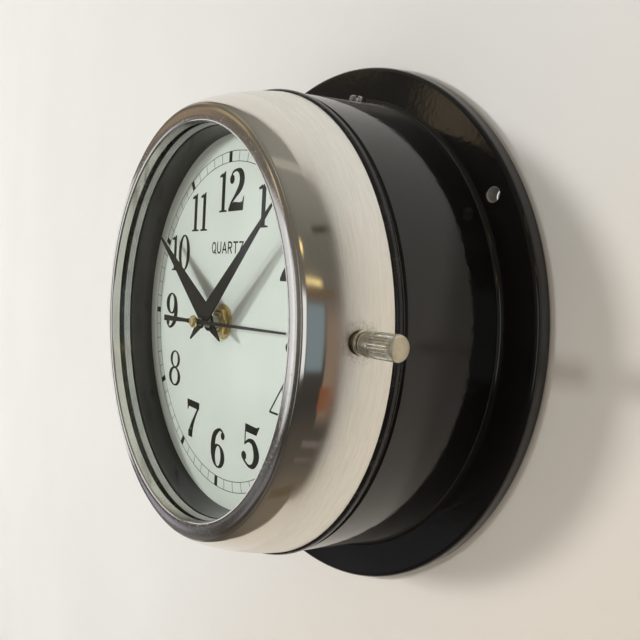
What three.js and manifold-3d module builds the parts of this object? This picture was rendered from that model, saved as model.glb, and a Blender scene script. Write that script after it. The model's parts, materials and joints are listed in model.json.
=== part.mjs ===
// Ships deck clock: a flanged round case for a bulkhead, a hinged bezel with a thumb screw,
// a printed dial and a quartz movement. Millimetres, +Z up, the dial faces -Y.
// The origin is the centre of the wall face, so a Y value is minus the distance in front of the wall.
import * as THREE from 'three';
import Module from 'manifold-3d';
import { mergeVertices } from 'three/addons/utils/BufferGeometryUtils.js';

const wasm = await Module();
wasm.setup();

// ---- driving dimensions ----
const FLANGE_R = 115;
const FLANGE_FRONT = -6.3;
const FLANGE_EDGE = 1.8;
const DRUM_BASE_R = 99.5;
const DRUM_FRONT_R = 95.8;
const DRUM_FILLET = 2.2;
const DRUM_FRONT = -46.9;
const SHOULDER = -48.1;
const SHOULDER_R = 95;
const CAVITY_R = 92.5;
const COLLAR_R = 87.2;
const COLLAR_BORE = 84.4;
const COLLAR_FRONT = -66;
const FIXING_HOLE_R = 2.6;
const FIXING_CIRCLE_R = 106.4;
const FIXING_ANGLES = [30, 150, 270];
const QUARTER_ANGLES = [45, 135, 225, 315];
const SIDE_SCREW_ANGLE = 77.2;
const SIDE_SCREW_Y = -12.5;
const SIDE_SCREW_SEAT_R = 99.4;
const SIDE_SCREW_HEAD_R = 3.5;
const SIDE_SCREW_HEAD_HEIGHT = 2.3;
const SIDE_SCREW_SHANK_R = 1.9;
const SIDE_SCREW_LENGTH = 8.4;

const COVER_R = 88;
const COVER_RECESS_R = 88.4;
const COVER_THICKNESS = 1.5;
const COVER_SEAT_BORE = 84;
const COVER_SEAT = 4.5;
const COVER_SCREW_CIRCLE = 86;
const COVER_SCREW_HEAD_R = 1.85;
const COVER_SCREW_HEAD_DEPTH = 1.2;
const COVER_SCREW_SHANK_R = 0.9;
const COVER_SCREW_TIP = -4.2;
const COVER_SINK_R = 2.15;
const COVER_HOLE_R = 1.2;
const COVER_TAPPED_R = 1.3;

const BEZEL_REAR = -51.7;
const BEZEL_REAR_R = 94.9;
const BEZEL_CREST = -80.4;
const OPENING_R = 78.1;
const GLASS_POCKET_R = 82.6;
const GLASS_R = 82.2;
const GLASS_FRONT = -76.4;
const GLASS_REAR = -74.4;
const GLASS_GASKET_REAR = -73.9;
const RETAINER_SEAT = -72.2;
const RETAINER_REAR = -70.8;
const RETAINER_BORE = 78.5;
const RETAINER_R = 86.3;
const RETAINER_SCREW_CIRCLE = 84.6;
const RETAINER_HOLE_R = 1.15;
const RETAINER_HOLE_END = -77;

const DIAL_R = 83.6;
const DIAL_FACE = -59.6;
const DIAL_BACK = -58.6;
const DIAL_RING_FRONT = -70.2;
const DIAL_RING_BORE = 78.4;
const DIAL_SCREW_CIRCLE = 82.05;
const DIAL_SCREW_ANGLES = [60, 180, 300];
const DIAL_LEDGE_BORE = 80.5;
const DIAL_LEDGE_BACK = -54.5;
const DIAL_RING_FOOT = -61;
const DIAL_RING_WALL_R = 80.4;
const DIAL_CENTRE_HOLE_R = 4.4;
const DIAL_SCREW_HOLE_R = 1.1;
const NUT_FRONT = -62.2;
const NUT_BACK = -60.2;
const NUT_BORE = 4.3;

const LATCH_ANGLE = 1.3;
const LATCH_Y = -63.25;
const LATCH_HEAD_R = 4;
const LATCH_HEAD_END = 109.4;
const LATCH_TIP = 87.8;
const LATCH_HEAD_FOOT = 94.8;
const LATCH_SHANK_R = 2;
const LATCH_BORE_R = 2.3;
const LATCH_BUSH_R = 3.4;
const LATCH_WASHER_R = 4.15;

const HINGE_X = -99.2;
const HINGE_Y = -49.9;
const HINGE_HALF = 13;
const KNUCKLE_HALF = 4.2;
const KNUCKLE_R = 2.6;
const HINGE_PIN_R = 1.2;
const HINGE_PIN_OVER = 0.8;
const HINGE_CASE_SCREW = { headX: -100.7, y: -41, z: 8, length: 6 };
const HINGE_BEZEL_SCREW = { headX: -99.4, y: -58.5, z: 6, length: 7.5 };
const HINGE_LEAF_HOLE_R = 1.15;
const HINGE_CASE_TAPPED_R = 1.3;
const HINGE_BEZEL_TAPPED_R = 1.2;
const HINGE_OUTSIDE_X = -104;
const SIDES_BOTH = [-1, 1];

const MOVEMENT_HALF = 28;
const MOVEMENT_FRONT = -57.6;
const MOVEMENT_REAR = -42;
const MOVEMENT_COVER_REAR = -40.8;
const WORKS_FLOOR = -56.2;
const BAY_FLOOR = -56.5;
const MIDDLE_PLATE_FRONT = -50.3;
const MIDDLE_PLATE_BACK = -49.5;
const STATOR_BACK = -45.2;
const STATOR_THICKNESS = 0.8;
const CONTACT_TOP = -16;
const CONTACT_FOOT = -23;
const BAY_TOP = -12;
const BATTERY_R = 7.25;
const BATTERY_LENGTH = 50.5;
const BATTERY_Z = -19.4;
const BATTERY_Y = -49.1;

const HOUR_HAND_Y = -66.5;
const MINUTE_HAND_Y = -70;
const SECOND_HAND_Y = -72.5;
const HOUR_HAND_ANGLE = 146;
const MINUTE_HAND_ANGLE = 42;
const SECOND_HAND_ANGLE = 1.8;

const GAP = 0.3;
const RING_SIDES = 48;
const SMALL_SIDES = 12;

const radians = THREE.MathUtils.degToRad;
const clock = new THREE.Group();

// ---- finishes ----
function finish(color, roughness, metalness) {
  return new THREE.MeshStandardMaterial({ color, roughness, metalness });
}
const ENAMEL = [0x0b0b0b, 0.18, 0.0];
const ALUMINIUM = [0xb9b6ae, 0.3, 1.0];
const STEEL = [0x8f8f8c, 0.35, 1.0];
const BRASS = [0xb59545, 0.3, 1.0];
const RUBBER = [0x101010, 0.6, 0.0];
const NYLON = [0xd9d6cc, 0.5, 0.0];
const BLACK_PLASTIC = [0x1b1b1c, 0.45, 0.0];
const HAND_PAINT = [0x26241f, 0.4, 0.2];
const CLEAR_GLASS = [0xeef4f2, 0.03, 0.0];
const DIAL_PAINT = [0xe2e8e2, 0.45, 0.0];
const COPPER = [0xa4552a, 0.4, 0.6];
const SOLDER_MASK = [0x2f6a3a, 0.5, 0.0];
const BATTERY_SLEEVE = [0x3a3f46, 0.35, 0.3];

// ---- geometry helpers ----
function solid(geometry) {
  const bare = geometry.index ? geometry : geometry.clone();
  bare.deleteAttribute('normal');
  bare.deleteAttribute('uv');
  const merged = mergeVertices(bare, 1e-4);
  const mesh = new wasm.Mesh({
    numProp: 3,
    vertProperties: new Float32Array(merged.attributes.position.array),
    triVerts: new Uint32Array(merged.index.array),
  });
  const made = new wasm.Manifold(mesh);
  if (made.volume() > 0) return made;
  const turned = mesh.triVerts.slice();
  for (let i = 0; i < turned.length; i += 3) [turned[i], turned[i + 1]] = [turned[i + 1], turned[i]];
  const { vertProperties } = mesh;
  return new wasm.Manifold(new wasm.Mesh({ numProp: 3, vertProperties, triVerts: turned }));
}

function geometryOf(body) {
  const mesh = body.getMesh();
  const geometry = new THREE.BufferGeometry();
  geometry.setAttribute('position', new THREE.BufferAttribute(new Float32Array(mesh.vertProperties), 3));
  geometry.setIndex(new THREE.BufferAttribute(new Uint32Array(mesh.triVerts), 1));
  return geometry;
}

function addNode(name, body, look, parent = clock) {
  const mesh = new THREE.Mesh(geometryOf(body), finish(...look));
  mesh.name = name;
  parent.add(mesh);
  return mesh;
}

// A solid of revolution about the clock's own Y axis; the profile is a list of [radius, y].
function turned(profile, sides = SMALL_SIDES) {
  const onAxis = profile[0][0] === 0;
  const points = onAxis ? profile : [...profile, profile[0]];
  return solid(new THREE.LatheGeometry(points.map(([r, y]) => new THREE.Vector2(r, y)), sides));
}

function rod(radius, yFront, yBack, x = 0, z = 0, sides = SMALL_SIDES) {
  return turned([[0, yFront], [radius, yFront], [radius, yBack], [0, yBack]], sides).translate([x, 0, z]);
}

function tube(outer, inner, yFront, yBack, sides = SMALL_SIDES) {
  return turned([[outer, yFront], [outer, yBack], [inner, yBack], [inner, yFront]], sides);
}

function block(xLow, xHigh, yLow, yHigh, zLow, zHigh) {
  const box = new THREE.BoxGeometry(xHigh - xLow, yHigh - yLow, zHigh - zLow);
  box.translate((xLow + xHigh) / 2, (yLow + yHigh) / 2, (zLow + zHigh) / 2);
  return solid(box);
}

// A flat plate whose outline is drawn on the dial plane, from yBack forward by its thickness.
function plate(outline, yBack, thickness) {
  const shape = new THREE.Shape(outline.map(([x, z]) => new THREE.Vector2(x, z)));
  const geometry = new THREE.ExtrudeGeometry(shape, { depth: thickness, bevelEnabled: false });
  geometry.rotateX(Math.PI / 2);
  geometry.translate(0, yBack, 0);
  return solid(geometry);
}

function around(circleRadius, degrees) {
  return [circleRadius * Math.cos(radians(degrees)), circleRadius * Math.sin(radians(degrees))];
}

function arcPoints(centreR, centreY, radius, fromDegrees, toDegrees, steps) {
  const points = [];
  for (let i = 0; i <= steps; i += 1) {
    const angle = radians(fromDegrees + ((toDegrees - fromDegrees) * i) / steps);
    points.push([centreR + radius * Math.cos(angle), centreY + radius * Math.sin(angle)]);
  }
  return points;
}

function panHead(radius, height, shankR, seat, length, x, z) {
  return turned([
    [0, seat - height], [radius * 0.6, seat - height], [radius, seat - height * 0.5], [radius, seat],
    [shankR, seat], [shankR, seat + length], [0, seat + length],
  ], 8).translate([x, 0, z]);
}

// ---- case ----
function drumRadius(y) {
  const along = (y - (FLANGE_FRONT - DRUM_FILLET)) / (DRUM_FRONT - (FLANGE_FRONT - DRUM_FILLET));
  return DRUM_BASE_R + (DRUM_FRONT_R - DRUM_BASE_R) * along;
}

function caseProfile() {
  const filletR = DRUM_BASE_R + DRUM_FILLET;
  const edgeY = FLANGE_FRONT + FLANGE_EDGE;
  return [
    [COVER_RECESS_R, 0],
    [FLANGE_R - 0.4, 0],
    [FLANGE_R, -0.4],
    ...arcPoints(FLANGE_R - FLANGE_EDGE, edgeY, FLANGE_EDGE, 0, -90, 3),
    ...arcPoints(filletR, FLANGE_FRONT - DRUM_FILLET, DRUM_FILLET, 90, 180, 3),
    [DRUM_FRONT_R, DRUM_FRONT],
    [SHOULDER_R, DRUM_FRONT - 0.5],
    [SHOULDER_R, SHOULDER],
    [COLLAR_R, SHOULDER],
    [COLLAR_R, COLLAR_FRONT],
    [COLLAR_BORE, COLLAR_FRONT],
    [COLLAR_BORE, DIAL_BACK],
    [DIAL_LEDGE_BORE, DIAL_BACK],
    [DIAL_LEDGE_BORE, DIAL_LEDGE_BACK],
    [COLLAR_BORE, DIAL_LEDGE_BACK],
    [COLLAR_BORE, SHOULDER + 1.5],
    [CAVITY_R, -43],
    [CAVITY_R, -COVER_SEAT],
    [COVER_SEAT_BORE, -COVER_SEAT],
    [COVER_SEAT_BORE, -COVER_THICKNESS],
    [COVER_RECESS_R, -COVER_THICKNESS],
  ];
}

function makeCase() {
  let body = turned(caseProfile(), RING_SIDES);
  for (const angle of FIXING_ANGLES) {
    const [x, z] = around(FIXING_CIRCLE_R, angle);
    body = body.subtract(rod(FIXING_HOLE_R, FLANGE_FRONT - 1, 1, x, z));
  }
  for (const angle of DIAL_SCREW_ANGLES) {
    const [x, z] = around(DIAL_SCREW_CIRCLE, angle);
    body = body.subtract(rod(1.1, DIAL_BACK - 1, DIAL_LEDGE_BACK + 1, x, z, 10));
  }
  for (const angle of QUARTER_ANGLES) {
    const [x, z] = around(COVER_SCREW_CIRCLE, angle);
    body = body.subtract(rod(COVER_TAPPED_R, -COVER_SEAT - 1, 0, x, z, 10));
  }
  for (const side of SIDES_BOTH) {
    const { y, z } = HINGE_CASE_SCREW;
    body = body.subtract(alongX(HINGE_CASE_TAPPED_R, HINGE_OUTSIDE_X, -90, y, side * z, 10));
  }
  const sideHole = alongX(SIDE_SCREW_SHANK_R + GAP, CAVITY_R - 5, FLANGE_R, SIDE_SCREW_Y);
  body = body.subtract(sideHole.rotate([0, -SIDE_SCREW_ANGLE, 0]));
  addNode('case_body', body, ENAMEL);
}

// A pan head screw set radially into the top of the drum.
function makeSideScrew() {
  const seat = SIDE_SCREW_SEAT_R;
  const tip = seat - SIDE_SCREW_LENGTH;
  const top = seat + SIDE_SCREW_HEAD_HEIGHT;
  const screw = radialTurned([
    [0, tip], [SIDE_SCREW_SHANK_R, tip], [SIDE_SCREW_SHANK_R, seat], [SIDE_SCREW_HEAD_R, seat],
    [SIDE_SCREW_HEAD_R, top - 1], [SIDE_SCREW_HEAD_R * 0.7, top], [0, top],
  ], SMALL_SIDES, SIDE_SCREW_Y);
  addNode('case_side_screw', screw.rotate([0, -SIDE_SCREW_ANGLE, 0]), STEEL);
}

function makeRearCover() {
  let cover = rod(COVER_R, -COVER_THICKNESS, 0, 0, 0, RING_SIDES);
  const screws = QUARTER_ANGLES.map((angle) => around(COVER_SCREW_CIRCLE, angle));
  const sinkEnd = -COVER_THICKNESS - 0.5;
  for (const [x, z] of screws) {
    const sink = turned([
      [0, sinkEnd], [COVER_HOLE_R, sinkEnd], [COVER_HOLE_R, -COVER_SCREW_HEAD_DEPTH],
      [COVER_SINK_R, 0], [COVER_SINK_R, 0.5], [0, 0.5],
    ]);
    cover = cover.subtract(sink.translate([x, 0, z]));
  }
  addNode('rear_cover', cover, ENAMEL);
  screws.forEach(([x, z], i) => {
    const screw = turned([
      [0, COVER_SCREW_TIP], [COVER_SCREW_SHANK_R, COVER_SCREW_TIP],
      [COVER_SCREW_SHANK_R, -COVER_SCREW_HEAD_DEPTH], [COVER_SCREW_HEAD_R, 0], [0, 0],
    ]);
    addNode(`rear_cover_screw_${i + 1}`, screw.translate([x, 0, z]), STEEL);
  });
}

function makeBezelGasket() {
  const inner = 88;
  const outer = 94.6;
  const flattening = 0.85;
  const middle = (SHOULDER + BEZEL_REAR) / 2;
  const half = (SHOULDER - BEZEL_REAR) / 2;
  const round = arcPoints(outer, middle, half, 90, -90, 4);
  const bead = round.map(([r, y]) => [outer + (r - outer) * flattening, y]);
  addNode('bezel_gasket', turned([[inner, SHOULDER], ...bead, [inner, BEZEL_REAR]], RING_SIDES), RUBBER);
}

// ---- bezel and glass ----
// Outer side of the bezel from its rear edge over the crest to the glass opening.
const BEZEL_SIDE = new THREE.SplineCurve([
  [BEZEL_REAR_R, BEZEL_REAR], [94.2, -56], [93.25, -60], [92.05, -64], [90.5, -68], [89.1, -72],
  [87.8, -75.6], [86.3, -78.3], [84.2, -79.9], [81.6, BEZEL_CREST], [79.3, -80.1], [OPENING_R, -79.2],
].map(([r, y]) => new THREE.Vector2(r, y)));

function bezelProfile() {
  const outer = BEZEL_SIDE.getPoints(11).map((p) => [p.x, p.y]);
  return [
    ...outer,
    [OPENING_R, GLASS_FRONT],
    [GLASS_POCKET_R, GLASS_FRONT],
    [GLASS_POCKET_R, RETAINER_SEAT],
    [86.8, RETAINER_SEAT],
    [87, -69.5],
    [88.4, -66.5],
    [89.8, -62.5],
    [91, -58],
    [92.3, BEZEL_REAR],
  ];
}

function makeBezel() {
  let body = turned(bezelProfile(), RING_SIDES);
  const latchHole = alongX(LATCH_BUSH_R + GAP, 80, 100, LATCH_Y).rotate([0, -LATCH_ANGLE, 0]);
  body = body.subtract(latchHole);
  for (const angle of QUARTER_ANGLES) {
    const [x, z] = around(RETAINER_SCREW_CIRCLE, angle);
    body = body.subtract(rod(RETAINER_HOLE_R, RETAINER_HOLE_END, RETAINER_SEAT + 1, x, z, 10));
  }
  for (const side of SIDES_BOTH) {
    const { y, z } = HINGE_BEZEL_SCREW;
    body = body.subtract(alongX(HINGE_BEZEL_TAPPED_R, HINGE_OUTSIDE_X, -84, y, side * z, 10));
  }
  addNode('bezel', body, ALUMINIUM);
}

function makeGlass() {
  addNode('glass', rod(GLASS_R, GLASS_FRONT, GLASS_REAR, 0, 0, RING_SIDES), CLEAR_GLASS);
  addNode('glass_gasket', tube(GLASS_R, 78.6, GLASS_REAR, GLASS_GASKET_REAR, RING_SIDES), RUBBER);
  let ring = turned([
    [RETAINER_BORE, GLASS_GASKET_REAR], [GLASS_R, GLASS_GASKET_REAR], [GLASS_R, RETAINER_SEAT],
    [RETAINER_R, RETAINER_SEAT], [RETAINER_R, RETAINER_REAR], [RETAINER_BORE, RETAINER_REAR],
  ], RING_SIDES);
  const tip = -76;
  const headTop = RETAINER_REAR + 1.1;
  QUARTER_ANGLES.forEach((angle, i) => {
    const [x, z] = around(RETAINER_SCREW_CIRCLE, angle);
    ring = ring.subtract(rod(RETAINER_HOLE_R, RETAINER_SEAT - 1, RETAINER_REAR + 1, x, z, 10));
    const screw = turned([
      [0, tip], [0.85, tip], [0.85, RETAINER_REAR], [1.55, RETAINER_REAR], [1.55, headTop - 0.4],
      [1, headTop], [0, headTop],
    ], 8);
    addNode(`retaining_ring_screw_${i + 1}`, screw.translate([x, 0, z]), STEEL);
  });
  addNode('glass_retaining_ring', ring, ALUMINIUM);
}

// ---- hinge at 9 o'clock ----
function alongX(radius, xLow, xHigh, y, z = 0, sides = SMALL_SIDES) {
  const cylinder = new THREE.CylinderGeometry(radius, radius, xHigh - xLow, sides);
  cylinder.rotateZ(-Math.PI / 2);
  cylinder.translate((xLow + xHigh) / 2, y, z);
  return solid(cylinder);
}

// A cylinder about the hinge axis.
function barrel(radius, zLow, zHigh) {
  const cylinder = new THREE.CylinderGeometry(radius, radius, zHigh - zLow, SMALL_SIDES);
  cylinder.rotateX(Math.PI / 2);
  cylinder.translate(HINGE_X, HINGE_Y, (zLow + zHigh) / 2);
  return solid(cylinder);
}

function hingeScrew({ headX, y, z, length }, side) {
  const headHeight = 1;
  const end = -headHeight - length;
  const profile = [
    [0, 0], [1.1, 0], [1.9, -0.5], [1.9, -headHeight], [0.95, -headHeight], [0.95, end], [0, end],
  ];
  const points = profile.map(([r, along]) => new THREE.Vector2(r, along));
  const geometry = new THREE.LatheGeometry(points, 8);
  geometry.rotateZ(Math.PI / 2);
  geometry.translate(headX, y, side * z);
  return solid(geometry);
}

function leafHoles(leaf, { y, z }) {
  let drilled = leaf.subtract(barrel(HINGE_PIN_R + 0.1, -20, 20));
  for (const side of SIDES_BOTH) {
    drilled = drilled.subtract(alongX(HINGE_LEAF_HOLE_R, HINGE_OUTSIDE_X, -84, y, side * z, 10));
  }
  return drilled;
}

function makeCaseLeaf() {
  const outside = -99.6;
  const drumClearance = turned([
    [0, -30], [drumRadius(-30) + GAP, -30], [drumRadius(DRUM_FRONT) + GAP, DRUM_FRONT],
    [SHOULDER_R + 1.4, SHOULDER], [SHOULDER_R + 1.4, -52], [0, -52],
  ], RING_SIDES);
  const notchHalf = KNUCKLE_HALF + GAP;
  let leaf = block(outside, -95, -48.6, -35, -HINGE_HALF, HINGE_HALF);
  leaf = leaf.add(barrel(KNUCKLE_R, -HINGE_HALF, HINGE_HALF));
  leaf = leaf.subtract(drumClearance);
  leaf = leaf.subtract(block(HINGE_OUTSIDE_X, -90, -54, DRUM_FRONT, -notchHalf, notchHalf));
  addNode('hinge_leaf_case', leafHoles(leaf, HINGE_CASE_SCREW), ENAMEL);
}

function makeBezelLeaf() {
  const outside = -98.3;
  const halfWidth = 10;
  const skirt = BEZEL_SIDE.getPoints(11).filter((p) => p.y > -70);
  const skirtClearance = turned([
    [0, -50], [BEZEL_REAR_R + GAP, -50], ...skirt.map((p) => [p.x + GAP, p.y]), [0, -70],
  ], RING_SIDES);
  let leaf = block(outside, -92, -63.5, -53.2, -halfWidth, halfWidth);
  leaf = leaf.add(block(-100.4, -97, -54.5, HINGE_Y, -KNUCKLE_HALF, KNUCKLE_HALF));
  leaf = leaf.add(barrel(KNUCKLE_R, -KNUCKLE_HALF, KNUCKLE_HALF));
  leaf = leaf.subtract(skirtClearance);
  addNode('hinge_leaf_bezel', leafHoles(leaf, HINGE_BEZEL_SCREW), ALUMINIUM);
}

function makeHinge() {
  makeCaseLeaf();
  makeBezelLeaf();
  const reach = HINGE_HALF + HINGE_PIN_OVER;
  addNode('hinge_pin', barrel(HINGE_PIN_R, -reach, reach), STEEL);
  SIDES_BOTH.forEach((side, i) => {
    addNode(`hinge_case_screw_${i + 1}`, hingeScrew(HINGE_CASE_SCREW, side), STEEL);
    addNode(`hinge_bezel_screw_${i + 1}`, hingeScrew(HINGE_BEZEL_SCREW, side), STEEL);
  });
}

// ---- pieces turned about a radial axis ----
// The profile is a list of [radius, distance from the clock's axis].
function radialTurned(profile, sides, y) {
  const points = profile.map(([r, along]) => new THREE.Vector2(r, along));
  const geometry = new THREE.LatheGeometry(points, sides);
  geometry.rotateZ(-Math.PI / 2);
  geometry.translate(0, y, 0);
  return solid(geometry);
}

function ringAbout(inner, outer, from, to) {
  const profile = [[inner, from], [outer, from], [outer, to], [inner, to], [inner, from]];
  return radialTurned(profile, SMALL_SIDES, LATCH_Y);
}

// ---- thumb screw at 3 o'clock; the group's own X axis points radially out ----
function makeLatch() {
  const latch = new THREE.Group();
  latch.rotation.y = -radians(LATCH_ANGLE);
  clock.add(latch);
  addNode('thumbscrew_bush', ringAbout(LATCH_BORE_R, LATCH_BUSH_R, 88.4, 93.2), BRASS, latch);
  addNode('thumbscrew_washer', ringAbout(LATCH_BORE_R, LATCH_WASHER_R, 93.5, 94.5), STEEL, latch);
  const screw = [
    [0, LATCH_TIP], [1.5, LATCH_TIP], [LATCH_SHANK_R, LATCH_TIP + 0.5], [LATCH_SHANK_R, LATCH_HEAD_FOOT],
    [3.6, LATCH_HEAD_FOOT], [LATCH_HEAD_R, LATCH_HEAD_FOOT + 0.4], [LATCH_HEAD_R, LATCH_HEAD_END - 0.7],
    [3.3, LATCH_HEAD_END], [0, LATCH_HEAD_END],
  ];
  addNode('thumbscrew', radialTurned(screw, 20, LATCH_Y), STEEL, latch);
}

// ---- dial ----
function makeDial() {
  let dial = tube(DIAL_R, DIAL_CENTRE_HOLE_R, DIAL_FACE, DIAL_BACK, RING_SIDES);
  let ring = turned([
    [DIAL_RING_BORE - 0.5, DIAL_FACE], [DIAL_R, DIAL_FACE], [DIAL_R, DIAL_RING_FOOT],
    [DIAL_RING_WALL_R, DIAL_RING_FOOT], [DIAL_RING_WALL_R, DIAL_RING_FRONT],
    [DIAL_RING_BORE, DIAL_RING_FRONT],
  ], RING_SIDES);
  DIAL_SCREW_ANGLES.forEach((angle, i) => {
    const [x, z] = around(DIAL_SCREW_CIRCLE, angle);
    const hole = rod(DIAL_SCREW_HOLE_R, DIAL_RING_FOOT - 1, DIAL_BACK + 1, x, z, 10);
    dial = dial.subtract(hole);
    ring = ring.subtract(hole);
    addNode(`dial_screw_${i + 1}`, panHead(1.35, 1.1, 0.85, DIAL_RING_FOOT, 5.4, x, z), STEEL);
  });
  addNode('dial_plate', dial, DIAL_PAINT);
  addNode('dial_ring', ring, BLACK_PLASTIC);
  addNode('brass_washer', tube(7.5, NUT_BORE, NUT_BACK, DIAL_FACE, 24), BRASS);
  const hexagon = rod(6, NUT_FRONT, NUT_BACK, 0, 0, 6);
  addNode('hex_nut', hexagon.subtract(rod(NUT_BORE, NUT_FRONT - 1, NUT_BACK + 1)), BRASS);
  addNode('rubber_washer', tube(10, 4.6, DIAL_BACK, MOVEMENT_FRONT, 24), RUBBER);
  const collarFront = -57.5;
  const collarBack = -56.9;
  const bush = turned([
    [2.9, -62.9], [3.7, -62.9], [4, -62.5], [4, collarFront], [6, collarFront],
    [6, collarBack], [4, collarBack], [4, -56.3], [2.9, -56.3],
  ], 20);
  addNode('threaded_bush', bush, BRASS);
}

// ---- hands; each outline lies along +X before it is turned to its angle ----
function hand(outline, angle, y, thickness, boreR) {
  const flat = plate(outline, y + thickness / 2, thickness);
  return flat.subtract(rod(boreR, y - 3, y + 3)).rotate([0, -angle, 0]);
}

function kite(length, tail, halfWidth, widest) {
  const tipHalf = 0.35;
  const tailHalf = 0.25;
  return [
    [-tail, -tailHalf], [widest, -halfWidth], [length, -tipHalf],
    [length, tipHalf], [widest, halfWidth], [-tail, tailHalf],
  ];
}

function makeHands() {
  const thickness = 0.5;
  const hour = hand(kite(64, 12.5, 4.7, 7), HOUR_HAND_ANGLE, HOUR_HAND_Y, thickness, 2.65);
  addNode('hour_hand', hour, HAND_PAINT);
  const minute = hand(kite(69, 12, 3.6, 6), MINUTE_HAND_ANGLE, MINUTE_HAND_Y, thickness, 1.75);
  addNode('minute_hand', minute, HAND_PAINT);
  const needle = [
    [-31, -1.3], [-9, -0.75], [0, -1.6], [9, -0.75], [66, -0.35],
    [66, 0.35], [9, 0.75], [0, 1.6], [-9, 0.75], [-31, 1.3],
  ];
  addNode('second_hand', hand(needle, SECOND_HAND_ANGLE, SECOND_HAND_Y, 0.4, 0.9), HAND_PAINT);
  const boss = turned([[0, -74.4], [1.6, -74.4], [2.5, -73.7], [2.5, -72.8], [0, -72.8]], 20);
  addNode('second_hand_boss', boss, BRASS);
}

// ---- gear train ----
// Simple pointed teeth, two outline points to a tooth, widened at the root.
function gear(teeth, pitchR, yFront, yBack, phase, x, z) {
  const module = (2 * pitchR) / teeth;
  const rootR = pitchR - 0.75 * module;
  const tipR = pitchR + 0.55 * module;
  const half = Math.PI / teeth;
  const outline = [];
  for (let i = 0; i < teeth; i += 1) {
    const middle = phase + (i * 2 * Math.PI) / teeth;
    outline.push([rootR * Math.cos(middle - half), rootR * Math.sin(middle - half)]);
    outline.push([tipR * Math.cos(middle), tipR * Math.sin(middle)]);
  }
  return plate(outline, yBack, yBack - yFront).translate([x, 0, z]);
}

// Phase of the driven gear that puts one of its gaps over the tooth of the gear it meshes with.
function meshPhase(direction, phase, teeth, drivenTeeth) {
  const pitch = (2 * Math.PI) / teeth;
  const past = (direction - phase) / pitch;
  return direction + Math.PI - ((0.5 - past) * 2 * Math.PI) / drivenTeeth;
}

const TRAIN = {
  motion: { direction: radians(20), distance: 12 },
  third: { direction: radians(110), distance: 10.8 },
  intermediate: { direction: radians(180), distance: 8.4 },
};
function trainAxis({ direction, distance }) {
  return [distance * Math.cos(direction), distance * Math.sin(direction)];
}
const MOTION_AXIS = trainAxis(TRAIN.motion);
const THIRD_AXIS = trainAxis(TRAIN.third);
const INTERMEDIATE_AXIS = trainAxis(TRAIN.intermediate);
const ROTOR_DIRECTION = radians(120);
const ROTOR_DISTANCE = 7.2;
const ROTOR_AXIS = [
  INTERMEDIATE_AXIS[0] + ROTOR_DISTANCE * Math.cos(ROTOR_DIRECTION),
  INTERMEDIATE_AXIS[1] + ROTOR_DISTANCE * Math.sin(ROTOR_DIRECTION),
];

function makeMotionWork() {
  const cannonTeeth = 12;
  const motionTeeth = 36;
  const motionPinionTeeth = 10;
  const hourTeeth = 40;
  const motionPhase = meshPhase(TRAIN.motion.direction, 0, cannonTeeth, motionTeeth);
  const hourPhase = meshPhase(TRAIN.motion.direction + Math.PI, 0, motionPinionTeeth, hourTeeth);
  let hour = gear(hourTeeth, 9.6, -55.9, -54.9, hourPhase, 0, 0);
  hour = hour.add(rod(2.5, -67.2, -54.9));
  hour = hour.subtract(rod(1.95, -68, -54));
  addNode('hour_wheel', hour, NYLON);
  let motion = gear(motionTeeth, 9, -54.5, -53.5, motionPhase, ...MOTION_AXIS);
  motion = motion.add(gear(motionPinionTeeth, 2.4, -55.9, -54.4, 0, ...MOTION_AXIS));
  motion = motion.add(rod(0.8, -56, -39, ...MOTION_AXIS, 12));
  addNode('motion_wheel', motion, NYLON);
  const knob = tube(6, 1, -40.3, -37, 20).translate([MOTION_AXIS[0], 0, MOTION_AXIS[1]]);
  addNode('setting_knob', knob, BLACK_PLASTIC);

  const thirdPinionTeeth = 8;
  const centreTeeth = 64;
  const centrePhase = meshPhase(TRAIN.third.direction + Math.PI, 0, thirdPinionTeeth, centreTeeth);
  let centre = gear(centreTeeth, 9.6, -53, -52.2, centrePhase, 0, 0);
  centre = centre.add(gear(cannonTeeth, 3, -54.6, -52.9, 0, 0, 0));
  centre = centre.add(rod(1.6, -70.9, -52.2, 0, 0, 16));
  centre = centre.subtract(rod(1.15, -72, -51));
  addNode('centre_wheel', centre, NYLON);
}

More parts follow.
